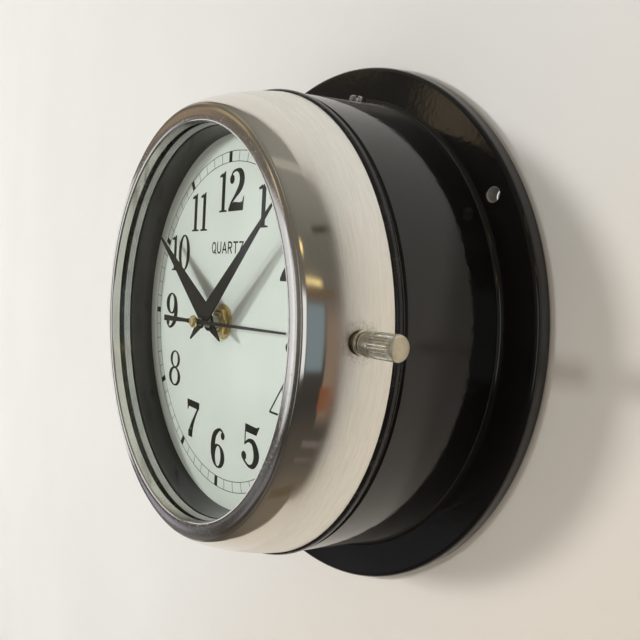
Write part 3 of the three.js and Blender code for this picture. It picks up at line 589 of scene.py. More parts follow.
def carved(mesh, *cutters, operation="DIFFERENCE"):
    """The mesh with each cutter taken away from it, joined to it or, for INTERSECT, kept only inside it."""
    def modify(carrier):
        tools = []
        for cutter in cutters:
            tool = new_object("cutter", cutter)
            cut = carrier.modifiers.new("cut", "BOOLEAN")
            cut.operation = operation
            cut.solver = "EXACT"
            cut.object = tool
            tools.append(tool)
        return tools
    return evaluated(mesh, modify)


def bevelled(mesh, width, segments=3, angle=35):
    """The mesh with its sharp edges rounded."""
    def modify(carrier):
        bevel = carrier.modifiers.new("bevel", "BEVEL")
        bevel.width = width * MM
        bevel.segments = segments
        bevel.limit_method = "ANGLE"
        bevel.angle_limit = math.radians(angle)
        bevel.harden_normals = False
    return evaluated(mesh, modify)


def box_mesh(low, high):
    work = bmesh.new()
    bmesh.ops.create_cube(work, size=1.0)
    low, high = Vector(low), Vector(high)
    size = high - low
    bmesh.ops.scale(work, vec=size, verts=work.verts)
    bmesh.ops.translate(work, vec=(low + high) / 2, verts=work.verts)
    return finished_mesh(work)


def prism(outline, y_front, y_back):
    """A plate with the outline drawn on the dial plane as (x, z)."""
    work = bmesh.new()
    front = [work.verts.new((x, y_front, z)) for x, z in outline]
    back = [work.verts.new((x, y_back, z)) for x, z in outline]
    work.faces.new(front)
    work.faces.new(back[::-1])
    for i in range(len(outline)):
        n = (i + 1) % len(outline)
        work.faces.new((front[i], front[n], back[n], back[i]))
    return finished_mesh(work)


def add_piece(node, mesh, finish=None, crease=32, name=None, replace=True):
    """Shows the mesh in place of the CAD node, or beside it, on the same body and with the same slot."""
    slot = SLOT_OF[node]
    piece = new_object(name or "fine_" + node, mesh)
    mesh.name = piece.name
    mesh.materials.clear()
    mesh.materials.append(finish or FINISH[slot])
    for polygon in mesh.polygons:
        polygon.use_smooth = True
    mesh.set_sharp_from_angle(angle=math.radians(crease))
    weighted = piece.modifiers.new("weighted", "WEIGHTED_NORMAL")
    weighted.keep_sharp = True
    weighted.weight = 50
    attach(piece, BODY_OF[node])
    if replace:
        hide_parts(node)


def hole(radius, y_front, y_back, x, z, chamfer=0.25, segments=TINY_ROUND):
    """Cutter for a round hole with a small chamfer at both faces."""
    over = 1.0
    profile = [
        (0, y_front - over), (radius + chamfer + over, y_front - over), (radius, y_front + chamfer),
        (radius, y_back - chamfer), (radius + chamfer + over, y_back + over), (0, y_back + over),
    ]
    return moved(lathe(profile, segments), x, 0, z)


def hinge_drills(radius, depth, y, half_spacing):
    """Cutters for the two screw holes of one hinge leaf, drilled in from the left."""
    start_x = -104
    return [moved(hole(radius, 0, depth, 0, 0, 0.1), start_x, y, side * half_spacing, turned_to(LEFT))
            for side in (-1, 1)]


def turned_to(direction):
    """Matrix that takes the screw axis, whose head faces -Y, to face along direction."""
    return Vector((0, -1, 0)).rotation_difference(Vector(direction)).to_matrix()


THREAD_PITCH = 0.5
THREAD_DEPTH = 0.16


def screw_mesh(head_r, head_h, shank_r, length, style="pan", slot_width=0.5, slot_depth=0.55, slot_turn=20.0):
    """A slotted screw seated at the origin with its head towards -Y; countersunk heads lie flush."""
    if style == "pan":
        head = rounded([(0, -head_h, 0), (head_r, -head_h, head_r * 0.55), (head_r, 0, 0.08)], 6)
        head[0] = (0, -head_h)
        top = -head_h
        body = [(shank_r, 0)]
    else:
        head = [(0, 0), (head_r - 0.05, 0), (head_r, 0.06)]
        top = 0
        body = [(shank_r, head_h)]
    start = body[0][1]
    end = start + length
    threads = []
    y = start + 0.4
    while y < end - 0.6:
        threads += [(shank_r, y), (shank_r - THREAD_DEPTH, y + THREAD_PITCH / 2)]
        y += THREAD_PITCH
    profile = head + body + threads + [(shank_r, end - 0.4), (shank_r - 0.35, end), (0, end)]
    mesh = lathe(profile, TINY_ROUND)
    half = slot_width / 2
    cutter = box_mesh((-head_r * 1.2, top - 0.6, -half), (head_r * 1.2, top + slot_depth, half))
    cutter.transform(Matrix.Rotation(math.radians(slot_turn), 4, "Y"))
    return carved(mesh, cutter)


# ---- case ----
FLANGE_FILLET = 2.2


def drum_radius(y):
    """Radius of the slightly tapered drum at a height y."""
    base = FLANGE_FRONT - FLANGE_FILLET
    return DRUM_BASE_R + (DRUM_FRONT_R - DRUM_BASE_R) * (y - base) / (DRUM_FRONT - base)


def make_case():
    """The hollow turned case: rebate for the cover, flange, drum, shoulder, collar and dial ledge."""
    rebate_r, lip_r = 88.4, 95
    profile = rounded([
        (rebate_r, 0, 0.15), (FLANGE_R, 0, 0.4), (FLANGE_R, FLANGE_FRONT, 1.8),
        (drum_radius(FLANGE_FRONT), FLANGE_FRONT, FLANGE_FILLET), (DRUM_FRONT_R, DRUM_FRONT, 0.35),
        (lip_r, DRUM_FRONT - 0.5, 0.15), (lip_r, SHOULDER, 0.3), (COLLAR_R, SHOULDER, 0.3),
        (COLLAR_R, COLLAR_FRONT, 0.4), (COLLAR_BORE, COLLAR_FRONT, 0.3), (COLLAR_BORE, DIAL_BACK, 0),
        (DIAL_LEDGE_R, DIAL_BACK, 0.2), (DIAL_LEDGE_R, DIAL_LEDGE_BACK, 0.2),
        (COLLAR_BORE, DIAL_LEDGE_BACK, 0), (COLLAR_BORE, SHOULDER + 1.5, 0.8),
        (CAVITY_R, -43, 2), (CAVITY_R, COVER_SEAT_BACK, 0.5),
        (COVER_SEAT_R, COVER_SEAT_BACK, 0.2), (COVER_SEAT_R, -COVER_THICKNESS, 0.2),
        (rebate_r, -COVER_THICKNESS, 0.1),
    ], 7)
    cutters = [hole(2.6, FLANGE_FRONT, 0, *polar(FIXING_CIRCLE, angle), 0.5) for angle in FIXING_ANGLES]
    for angle in DIAL_SCREW_ANGLES:
        cutters.append(hole(1.1, DIAL_BACK, DIAL_LEDGE_BACK, *polar(DIAL_SCREW_CIRCLE, angle), 0.1))
    for angle in QUARTER_ANGLES:
        cutters.append(hole(1.3, COVER_SEAT_BACK, -COVER_THICKNESS, *polar(COVER_SCREW_CIRCLE, angle), 0.1))
    cutters += hinge_drills(1.3, 16, CASE_LEAF_SCREW_Y, CASE_LEAF_SCREW_Z)
    add_piece("case_body", carved(lathe(profile), *cutters))


def make_side_screw():
    """Pan head screw set radially into the top of the drum."""
    low, high = span("case_side_screw")
    middle = (low + high) / 2
    out = Vector((middle.x, 0, middle.z)).normalized()
    seat = drum_radius(middle.y) - 0.05
    screw = screw_mesh(3.5, 2.35, 1.9, 8.2, slot_width=0.9, slot_depth=1.0, slot_turn=62)
    add_piece("case_side_screw", moved(screw, out.x * seat, middle.y, out.z * seat, turned_to(out)))


def make_rear_cover():
    profile = rounded([(0, 0, 0), (COVER_R, 0, 0.3), (COVER_R, -COVER_THICKNESS, 0.2),
                       (0, -COVER_THICKNESS, 0)], 4)
    sink = [(0, -2.5), (1.2, -2.5), (1.2, -1.2), (2.15, 0), (2.15, 1), (0, 1)]
    sinks = []
    for i, angle in enumerate(QUARTER_ANGLES):
        x, z = polar(COVER_SCREW_CIRCLE, angle)
        sinks.append(moved(lathe(sink, TINY_ROUND), x, 0, z))
        screw = screw_mesh(1.85, 1.2, 0.9, 3, "sunk", 0.45, 0.5, 35 + 50 * i)
        add_piece(f"rear_cover_screw_{i + 1}", moved(screw, x, -0.01, z, turned_to(REARWARD)))
    add_piece("rear_cover", carved(lathe(profile), *sinks))


def make_bezel_gasket():
    """A flat ring that bulges out as a round bead between the case and the bezel."""
    inner_r, bead_r, bulge, steps = 88, 94.6, 1.5, 16
    middle = (SHOULDER + BEZEL_REAR) / 2
    half = (SHOULDER - BEZEL_REAR) / 2
    bead = []
    for k in range(steps + 1):
        angle = math.pi / 2 - math.pi * k / steps
        bead.append((bead_r + bulge * math.cos(angle), middle + half * math.sin(angle)))
    profile = [(inner_r, SHOULDER), *bead, (inner_r, BEZEL_REAR)]
    add_piece("bezel_gasket", lathe(profile), crease=60)


# ---- bezel and glass ----
# Outer side of the bezel as (radius, y), from its rear edge over the crest to the glass opening.
BEZEL_SIDE = (
    (BEZEL_REAR_R, BEZEL_REAR), (94.10, -56), (93.16, -60), (92.03, -64), (90.71, -68), (89.17, -72),
    (88.30, -74.1), (87.25, -76.2), (86.1, -78.1), (85.25, -79.2), (84.75, -79.62), (84.3, -79.86),
    (83.6, -80.07), (82.9, -80.22), (82.0, -80.32), (81.0, -80.38), (80.1, BEZEL_CREST), (79.2, -80.33),
    (78.5, -80.1), (78.1, -79.6),
)
SCRIBED_LINE_R = 84.6
SCRIBED_HALF_WIDTH = 0.22
SCRIBED_DEPTH = 0.10


def bezel_outer():
    """The outer side with a fine scribed line where the shoulder meets the front."""
    run = []
    for r, y in smooth_run(BEZEL_SIDE, 9):
        off = abs(r - SCRIBED_LINE_R)
        if y < -79 and off < SCRIBED_HALF_WIDTH:
            y += SCRIBED_DEPTH * (1 - off / SCRIBED_HALF_WIDTH)
        run.append((r, max(y, BEZEL_CREST)))
    return run


def make_bezel():
    opening_r, glass_seat_r = 78.1, 82.6
    inner = rounded([
        (opening_r, -78.6, 0), (opening_r, GLASS_FRONT, 0.15), (glass_seat_r, GLASS_FRONT, 0.1),
        (glass_seat_r, RETAINER_SEAT, 0.1), (86.8, RETAINER_SEAT, 0.2), (87, -69.5, 0), (88.4, -66.5, 0),
        (89.8, -62.5, 0), (91, -58, 0), (92.3, BEZEL_REAR, 0.2), (93.6, BEZEL_REAR, 0),
    ], 4)
    mesh = lathe(bezel_outer() + inner, 360)
    latch, latch_start = hole(3.7, 0, 20, 0, 0, 0.1, SMALL_ROUND), 100
    out = Vector((*polar(1, LATCH_ANGLE), 0)).xzy
    cutters = [moved(latch, latch_start * out.x, LATCH_Y, latch_start * out.z, turned_to(out))]
    blind_hole = [(0, -75.7), (1.15, -75.7), (1.15, -71), (0, -71)]
    for angle in QUARTER_ANGLES:
        x, z = polar(RETAINER_SCREW_CIRCLE, angle)
        cutters.append(moved(lathe(blind_hole, TINY_ROUND), x, 0, z))
    cutters += hinge_drills(1.2, 20, BEZEL_LEAF_SCREW_Y, BEZEL_LEAF_SCREW_Z)
    add_piece("bezel", carved(mesh, *cutters), crease=28)


def make_glass():
    """The pane, the soft ring behind it, and the grooved metal ring that holds both."""
    edge = 0.25
    pane = rounded([(0, GLASS_FRONT, 0), (GLASS_R, GLASS_FRONT, edge), (GLASS_R, GLASS_REAR, edge),
                    (0, GLASS_REAR, 0)], 3)
    add_piece("glass", lathe(pane))
    gasket_bore = 78.6
    gasket = rounded([(gasket_bore, GLASS_REAR, 0.2), (GLASS_R, GLASS_REAR, 0.1),
                      (GLASS_R, RETAINER_FRONT, 0.1), (gasket_bore, RETAINER_FRONT, 0.2)])
    add_piece("glass_gasket", lathe(gasket))
    groove, arris = RETAINER_BORE + 0.25, 0.05
    ring = rounded([
        (RETAINER_BORE, RETAINER_FRONT, 0.25), (GLASS_R, RETAINER_FRONT, 0.1),
        (GLASS_R, RETAINER_SEAT, 0.1), (RETAINER_R, RETAINER_SEAT, 0.15),
        (RETAINER_R, RETAINER_REAR, 0.3), (RETAINER_BORE, RETAINER_REAR, 0.3),
        (RETAINER_BORE, -71.6, arris), (groove, -71.75, arris), (groove, -72.0, arris),
        (RETAINER_BORE, -72.15, arris), (RETAINER_BORE, -72.7, arris), (groove, -72.85, arris),
        (groove, -73.1, arris), (RETAINER_BORE, -73.25, arris),
    ], 3)
    cutters = []
    for i, angle in enumerate(QUARTER_ANGLES):
        x, z = polar(RETAINER_SCREW_CIRCLE, angle)
        cutters.append(hole(1.15, RETAINER_SEAT, RETAINER_REAR, x, z, 0.1))
        screw = screw_mesh(1.55, 1.05, 0.85, 4.4, slot_width=0.35, slot_depth=0.45, slot_turn=15 + 65 * i)
        add_piece(f"retaining_ring_screw_{i + 1}", moved(screw, x, RETAINER_REAR, z, turned_to(REARWARD)))
    add_piece("glass_retaining_ring", carved(lathe(ring), *cutters))


# ---- hinge at 9 o'clock ----
HINGE_HALF = 13
KNUCKLE_HALF = 4.2
KNUCKLE_R = 2.6
PIN_BORE_R = 1.3
HINGE_GAP = 0.3


def hinge_barrel(radius, z_low, z_high):
    """A solid cylinder about the hinge axis, for a knuckle or for its bore."""
    mesh = lathe([(0, 0), (radius, 0), (radius, z_high - z_low), (0, z_high - z_low)], SMALL_ROUND)
    mesh.transform(UPRIGHT)
    return moved(mesh, HINGE_X, HINGE_Y, z_low)


def make_case_leaf():
    """The leaf on the drum, with the two outer knuckles."""
    low_y, high_y, lip_r = -52, -30, 96.4
    cone = lathe([(0, high_y), (drum_radius(high_y) + HINGE_GAP, high_y),
                  (DRUM_FRONT_R + HINGE_GAP, DRUM_FRONT), (lip_r, -48), (lip_r, low_y), (0, low_y)])
    leaf = box_mesh((-99.6, -48.6, -HINGE_HALF), (-95, -35, HINGE_HALF))
    leaf = carved(leaf, hinge_barrel(KNUCKLE_R, -HINGE_HALF, HINGE_HALF), operation="UNION")
    notch_half = KNUCKLE_HALF + HINGE_GAP
    notch = box_mesh((-104, -54, -notch_half), (-90, -46.9, notch_half))
    drills = hinge_drills(1.15, 20, CASE_LEAF_SCREW_Y, CASE_LEAF_SCREW_Z)
    leaf = carved(leaf, cone, notch, hinge_barrel(PIN_BORE_R, -20, 20), *drills)
    add_piece("hinge_leaf_case", bevelled(leaf, 0.35))


def make_bezel_leaf():
    """The leaf on the bezel's skirt, with the middle knuckle on a neck."""
    low_y, high_y = -70, -50
    skirt = [(r + HINGE_GAP, y) for r, y in smooth_run(BEZEL_SIDE, 4) if y > low_y]
    clearance = lathe([(0, high_y), (BEZEL_REAR_R + HINGE_GAP, high_y), *skirt, (0, low_y)])
    leaf = box_mesh((-98.3, -63.5, -10), (-92, -53.2, 10))
    neck = box_mesh((-100.4, -54.5, -KNUCKLE_HALF), (-97, HINGE_Y, KNUCKLE_HALF))
    leaf = carved(leaf, neck, hinge_barrel(KNUCKLE_R, -KNUCKLE_HALF, KNUCKLE_HALF), operation="UNION")
    drills = hinge_drills(1.15, 20, BEZEL_LEAF_SCREW_Y, BEZEL_LEAF_SCREW_Z)
    leaf = carved(leaf, clearance, hinge_barrel(PIN_BORE_R, -20, 20), *drills)
    add_piece("hinge_leaf_bezel", bevelled(leaf, 0.3))


def make_hinge():
    make_case_leaf()
    make_bezel_leaf()
    reach, pin_r = HINGE_HALF + 0.8, 1.2
    pin = rounded([(0, 0, 0), (pin_r, 0, 0.4), (pin_r, 2 * reach, 0.4), (0, 2 * reach, 0)])
    pin = lathe(pin, TINY_ROUND)
    pin.transform(UPRIGHT)
    add_piece("hinge_pin", moved(pin, HINGE_X, HINGE_Y, -reach))
    # Leaf, outer face x, y and z of its screws, screw length, and how its slots are turned.
    leaves = (("case", -99.7, CASE_LEAF_SCREW_Y, CASE_LEAF_SCREW_Z, 6, (30, 100)),
              ("bezel", -98.4, BEZEL_LEAF_SCREW_Y, BEZEL_LEAF_SCREW_Z, 7.5, (75, 25)))
    for i, side in enumerate((-1, 1)):
        for leaf, face_x, y, half_spacing, length, turns in leaves:
            screw = screw_mesh(1.9, 1.0, 0.95, length, slot_turn=turns[i])
            screw = moved(screw, face_x, y, side * half_spacing, turned_to(LEFT))
            add_piece(f"hinge_{leaf}_screw_{i + 1}", screw)


# ---- thumb screw at 3 o'clock ----
KNURL_RIDGES = 28
KNURL_DEPTH = 0.42
KNOB_R = 4.0
KNOB_END = 109.4
KNURL_LOW, KNURL_HIGH = 99.6, 108.9
BUSH_R, BUSH_LOW, BUSH_HIGH = 3.4, 88.4, 93.2
LATCH_BORE_R = 2.3
WASHER_R, WASHER_LOW, WASHER_HIGH = 4.15, 93.5, 94.5
SHANK_R, SHANK_ROOT_R, SHANK_PITCH = 2.0, 1.72, 0.7


def outward_from(mesh):
    """Takes a piece turned about Y, drawn with radial distance as -y, out to the latch axis."""
    x, z = polar(1, LATCH_ANGLE)
    return moved(mesh, 0, LATCH_Y, 0, turned_to((x, 0, z)))


def knurl_ridges(radius, y, angle):
    """Cuts straight V grooves, with flats between them, into the knurled length only."""
    if radius < KNOB_R - 0.001 or -y < KNURL_LOW - 0.001:
        return radius
    phase = (angle * KNURL_RIDGES / (2 * math.pi)) % 1.0
    return radius - KNURL_DEPTH * min(1.0, max(0.0, abs(2 * phase - 1) * 1.9 - 0.6))


def make_latch():
    bush = rounded([(LATCH_BORE_R, -BUSH_LOW, 0.15), (LATCH_BORE_R, -BUSH_HIGH, 0.15),
                    (BUSH_R, -BUSH_HIGH, 0.3), (BUSH_R, -BUSH_LOW, 0.2)])
    add_piece("thumbscrew_bush", outward_from(lathe(bush, SMALL_ROUND)), AGED_BRASS)
    washer = rounded([(LATCH_BORE_R, -WASHER_LOW, 0.1), (LATCH_BORE_R, -WASHER_HIGH, 0.1),
                      (WASHER_R, -WASHER_HIGH, 0.3), (WASHER_R, -WASHER_LOW, 0.3)])
    add_piece("thumbscrew_washer", outward_from(lathe(washer, SMALL_ROUND)))

    shank = []
    along = 88.6
    while along < 94.0:
        shank += [(SHANK_R, -along), (SHANK_ROOT_R, -along - SHANK_PITCH / 2)]
        along += SHANK_PITCH
    plain = [(KNOB_R, -96.2 - 3.1 * k / 4) for k in range(4)]
    knurl = [(KNOB_R, -KNURL_LOW - (KNURL_HIGH - 0.25 - KNURL_LOW) * k / 4) for k in range(5)]
    profile = [
        (0, -87.8), (1.45, -87.8), (1.75, -88.1), *shank, (SHANK_R, -94.8), (3.3, -94.8), (3.62, -94.95),
        (3.85, -95.25), (3.96, -95.7), *plain, (KNOB_R, -99.3), (KNOB_R - 0.2, -99.42), *knurl,
        (KNOB_R - 0.18, -109.0), (KNOB_R - 0.5, -109.25), (KNOB_R - 0.85, -KNOB_END), (0, -KNOB_END),
    ]
    add_piece("thumbscrew", outward_from(lathe(profile, KNURL_RIDGES * 8, knurl_ridges)), crease=40)


# ---- printed dial ----
def stroke(points, per_span=7):
    """Outline of a brush stroke through (x, z, half width) points, with round ends."""
    run = smooth_run(points, per_span)
    left, right = [], []
    for i, (x, z, half) in enumerate(run):
        ahead = Vector(run[min(i + 1, len(run) - 1)][:2]) - Vector(run[max(i - 1, 0)][:2])
        across = Vector((-ahead.y, ahead.x)).normalized() * half
        left.append((x + across.x, z + across.y))
        right.append((x - across.x, z - across.y))

    def cap(index, sign):
        x, z, half = run[index]
        side = (left if sign > 0 else right)[index]
        start = math.atan2(side[1] - z, side[0] - x)
        return [(x + half * math.cos(start - math.pi * k / 6), z + half * math.sin(start - math.pi * k / 6))
                for k in range(1, 6)]

    return [("area", left + cap(-1, 1) + right[::-1] + cap(0, -1))]


def ellipse(x, z, a, b, count=40):
    return [(x + a * math.cos(2 * math.pi * k / count), z + b * math.sin(2 * math.pi * k / count))
            for k in range(count)]


def ball(x, z, r):
    return [("area", ellipse(x, z, r, r, 24))]


def loop(x, z, a, b, inner_a, inner_b):
    return [("ring", ellipse(x, z, a, b), ellipse(x, z, inner_a, inner_b))]


def area(*points):
    return [("area", list(points))]


def one():
    return (area((-1.6, -7.9), (1.6, -7.9), (1.6, 8.5), (0.9, 8.5), (-1.6, 7.3))
            + area((-4.0, -8.5), (4.0, -8.5), (4.0, -7.9), (1.6, -7.6), (-1.6, -7.6), (-4.0, -7.9))
            + area((-1.4, 8.0), (-4.4, 6.9), (-4.2, 6.2), (-1.4, 6.3)))


def two():
    return (stroke([(-4.6, 5.2, 0.5), (-3.2, 7.4, 0.5), (0, 8.1, 0.6), (3.0, 6.9, 1.5), (4.3, 4.2, 1.95),
                    (3.2, 1.0, 1.7), (-0.3, -2.2, 0.95), (-3.7, -5.0, 0.6), (-5.4, -7.6, 0.5)])
            + ball(-3.7, 4.6, 1.9)
            + area((-6.0, -8.5), (5.9, -8.5), (6.4, -2.8), (5.9, -2.8), (5.0, -4.9), (3.0, -5.2),
                   (-1.5, -4.7), (-4.4, -5.4), (-6.0, -7.4)))


def three():
    return (stroke([(-4.6, 5.6, 0.4), (-2.6, 7.6, 0.5), (0.2, 8.1, 0.6), (3.0, 6.8, 1.3), (3.6, 4.2, 1.7),
                    (2.4, 1.6, 1.0), (-1.0, 0.5, 0.45)])
            + stroke([(-1.0, 0.5, 0.45), (2.6, -0.6, 1.1), (4.3, -3.8, 1.9), (2.6, -7.2, 1.1),
                      (-0.8, -8.1, 0.6), (-4.4, -6.8, 0.5)])
            + ball(-3.9, 4.9, 1.6) + ball(-4.2, -5.2, 1.8))


def four():
    return (area((0.8, -7.9), (4.2, -7.9), (4.2, 8.5), (1.6, 8.5), (0.8, 7.3))
            + area((-1.6, -8.5), (6.2, -8.5), (6.2, -7.9), (4.2, -7.6), (0.8, -7.6), (-1.6, -7.9))
            + stroke([(1.9, 8.2, 0.35), (-2.4, 2.2, 0.35), (-6.6, -3.7, 0.35)])
            + area((-7.0, -4.3), (6.6, -4.3), (6.6, -3.5), (-7.0, -3.5)))


def five():
    return (stroke([(-4.4, 0.0, 0.4), (-1.5, 1.9, 0.7), (2.0, 1.4, 1.4), (4.3, -2.8, 1.95), (2.6, -7.0, 1.2),
                    (-0.8, -8.1, 0.6), (-4.4, -6.6, 0.5)])
            + ball(-4.6, -4.9, 1.8)
            + area((-4.6, 8.2), (-3.9, 8.2), (-3.9, 0.1), (-4.6, -0.3))
            + area((-4.5, 8.2), (-4.4, 5.0), (3.6, 5.0), (5.6, 8.7), (4.9, 8.7), (3.4, 8.0)))


def six():
    return (loop(0.3, -3.4, 5.6, 5.1, 2.3, 4.3)
            + stroke([(3.9, 7.3, 0.4), (2.4, 8.1, 0.5), (0.4, 8.0, 0.7), (-3.0, 5.2, 1.45), (-4.2, 0.8, 1.75),
                      (-4.0, -3.5, 1.6)])
            + ball(3.7, 6.0, 1.6))


def seven():
    return (area((-6.2, 8.4), (-5.5, 3.6), (-4.9, 3.6), (-4.2, 5.3), (6.0, 5.3), (6.0, 8.5), (-5.4, 8.5))
            + stroke([(5.4, 6.4, 0.6), (2.4, 2.0, 0.8), (-0.2, -2.6, 1.3), (-1.6, -6.2, 2.0),
                      (-1.9, -6.5, 2.0)])
            + area((-3.9, -8.5), (0.4, -8.5), (0.1, -5.8), (-3.5, -5.8)))


def eight():
    return loop(0, 4.3, 4.8, 4.2, 2.6, 3.5) + loop(0, -4.0, 5.8, 4.6, 3.1, 3.8)


def turned_over(shapes):
    return [(kind, *[[(-x, -z) for x, z in outline] for outline in outlines]) for kind, *outlines in shapes]


def nought():
    return loop(0, 0, 5.6, 8.5, 2.7, 7.7)


def nine():
    return turned_over(six())


# What is printed at each hour: (shape, x, z, width) about the dial's centre.
NUMERALS = (
    (one, -4.9, 54.4, 0.85), (two, 5.9, 54.4, 1.02),
    (one, 27.6, 47.0, 0.9), (two, 47.5, 27.2, 1.0), (three, 53.5, 0.3, 1.0), (four, 46.0, -26.3, 1.0),
    (five, 27.0, -46.6, 1.06), (six, 0.3, -54.2, 1.06), (seven, -24.8, -47.2, 1.02),
    (eight, -46.4, -26.8, 1.12),
    (nine, -52.6, 0.7, 1.12), (one, -51.4, 28.7, 0.85), (nought, -41.3, 28.7, 1.08),
    (one, -30.6, 47.0, 0.85), (one, -22.2, 47.0, 0.85),
)
TRACK_OUTER_R = 70.6
TRACK_INNER_R = 66.3
TRACK_LINE = 0.26
HOUR_BLOCK_HALF = 1.25


def placed(shapes, x, z, width=1.0):
    return [(kind, *[[(x + px * width, z + pz) for px, pz in outline] for outline in outlines])
            for kind, *outlines in shapes]


def track():
    """Two thin circles joined by a tick at each minute and a block at each hour."""
    shapes = []
    for radius in (TRACK_OUTER_R, TRACK_INNER_R):
        outer, inner = radius + TRACK_LINE / 2, radius - TRACK_LINE / 2
        shapes.append(("ring", ellipse(0, 0, outer, outer, 360), ellipse(0, 0, inner, inner, 360)))
    for minute in range(60):
        half = HOUR_BLOCK_HALF if minute % 5 == 0 else TRACK_LINE / 2
        direction = Vector(polar(1, 6 * minute))
        across = Vector((-direction.y, direction.x)) * half
        low, high = direction * TRACK_INNER_R, direction * TRACK_OUTER_R
        shapes += area(*map(tuple, (low - across, high - across, high + across, low + across)))
    return shapes


WORD_LINE = 0.36
WORD_STEP = 4.7
WORD_X = 0.4
WORD_Z = 31.0


def pen(*points, per_span=2):
    """A line of even width through (x, z) points."""
    return stroke([(x, z, WORD_LINE) for x, z in points], per_span)


def plain_word():
    """The kind of movement, in plain capitals 5 mm high: Q, U, A, R, T, Z."""
    inner_a, inner_b = 1.9 - 2 * WORD_LINE, 2.5 - 2 * WORD_LINE
    letters = [
        loop(0, 0, 1.9, 2.5, inner_a, inner_b) + pen((0.6, -1.2), (1.2, -1.8), (2.0, -2.6)),
        pen((-1.5, 2.2), (-1.5, 0), (-1.45, -1.0), (-0.9, -1.95), (0, -2.2), (0.9, -1.95), (1.45, -1.0),
            (1.5, 0), (1.5, 2.2), per_span=4),
        pen((-1.7, -2.2), (0, 2.2)) + pen((0, 2.2), (1.7, -2.2)) + pen((-1.1, -0.8), (1.1, -0.8)),
        pen((-1.4, -2.2), (-1.4, 2.2)) + pen((1.5, -2.2), (0.1, -0.1))
        + pen((-1.4, 2.2), (0.2, 2.2), (1.3, 1.75), (1.35, 0.5), (0.3, -0.05), (-1.4, -0.1), per_span=4),
        pen((-1.7, 2.2), (1.7, 2.2)) + pen((0, 2.2), (0, -2.2)),
        pen((-1.5, 2.2), (1.5, 2.2)) + pen((1.5, 2.2), (-1.5, -2.2)) + pen((-1.5, -2.2), (1.5, -2.2)),
    ]
    middle = (len(letters) - 1) / 2
    shapes = []
    for i, letter in enumerate(letters):
        shapes += placed(letter, (i - middle) * WORD_STEP + WORD_X, WORD_Z)
    return shapes


def anticlockwise(outline):
    """The outline in the order that leaves its inside on the left."""
    twice_area = sum(a[0] * b[1] - b[0] * a[1] for a, b in zip(outline, outline[1:] + outline[:1]))
    return outline if twice_area > 0 else outline[::-1]


def printed(shapes, y_front, y_back):
    """One thin solid over the union of the shapes, each an area or a ring with an open middle."""
    verts, outlines, wanted = [], [], []
    for kind, outer, *middle in shapes:
        pair = []
        for outline in map(anticlockwise, (outer, *middle)):
            outlines.append(list(range(len(verts), len(verts) + len(outline))))
            verts += [Vector(point) for point in outline]
            pair.append(len(outlines) - 1)
        wanted.append(pair)
    points, _, faces, _, _, sources = delaunay_2d_cdt(verts, [], outlines, 1, 1e-5)
    kept = []
    for face, source in zip(faces, sources):
        inside = set(source)
        if any(pair[0] in inside and not inside & set(pair[1:]) for pair in wanted):
            kept.append(face)
    return slab(points, kept, y_front, y_back)


def slab(points, faces, y_front, y_back):
    """Gives flat faces that share points a thickness along Y."""
    work = bmesh.new()
    used = sorted({i for face in faces for i in face})
    front = {i: work.verts.new((points[i][0], y_front, points[i][1])) for i in used}
    back = {i: work.verts.new((points[i][0], y_back, points[i][1])) for i in used}
    edges = {}
    for face in faces:
        work.faces.new([front[i] for i in face])
        work.faces.new([back[i] for i in reversed(face)])
        for a, b in zip(face, face[1:] + face[:1]):
            edges[(a, b)] = edges.get((a, b), 0) + 1
    for a, b in edges:
        if (b, a) not in edges:
            work.faces.new([front[b], front[a], back[a], back[b]])
    return finished_mesh(work)


INK_FRONT = DIAL_FACE - 0.035
INK_BACK = DIAL_FACE + 0.02
DIAL_BORE_R = 4.4


def make_dial():
    """The printed plate and the raised ring round it, with the screws that hold both."""
    plate = rounded([(DIAL_BORE_R, DIAL_FACE, 0.08), (DIAL_R, DIAL_FACE, 0.1), (DIAL_R, DIAL_BACK, 0.1),
                     (DIAL_BORE_R, DIAL_BACK, 0.08)], 3)
    ring = rounded([
        (77.9, DIAL_FACE, 0.1), (DIAL_R, DIAL_FACE, 0.1), (DIAL_R, DIAL_RING_SEAT, 0.2),
        (80.4, DIAL_RING_SEAT, 0.2), (80.4, DIAL_RING_FRONT, 0.35), (78.4, DIAL_RING_FRONT, 0.35),
    ], 4)
    places = [polar(DIAL_SCREW_CIRCLE, angle) for angle in DIAL_SCREW_ANGLES]
    for i, (x, z) in enumerate(places):
        screw = screw_mesh(1.35, 1.1, 0.85, 5.4, slot_width=0.32, slot_depth=0.45, slot_turn=25 + 40 * i)
        add_piece(f"dial_screw_{i + 1}", moved(screw, x, DIAL_RING_SEAT, z))
    for name, profile, front, back in (("dial_plate", plate, DIAL_FACE, DIAL_BACK),
                                       ("dial_ring", ring, DIAL_RING_SEAT, DIAL_FACE)):
        drills = [hole(1.1, front, back, x, z, 0.05) for x, z in places]
        add_piece(name, carved(lathe(profile), *drills))
    shapes = track() + plain_word()
    for shape, x, z, width in NUMERALS:
        shapes += placed(shape(), x, z, width)
    add_piece("dial_plate", printed(shapes, INK_FRONT, INK_BACK), INK, name="dial_print", replace=False)


CENTRE_ROUND = 96
NUT_FRONT, NUT_BACK, NUT_CORNER_R, NUT_BORE_R = -62.2, -60.2, 6, 4.25
BUSH_THREAD_R, BUSH_ROOT_R, BUSH_THREAD_PITCH, BUSH_BORE_R = 4.0, 3.72, 0.6, 2.9


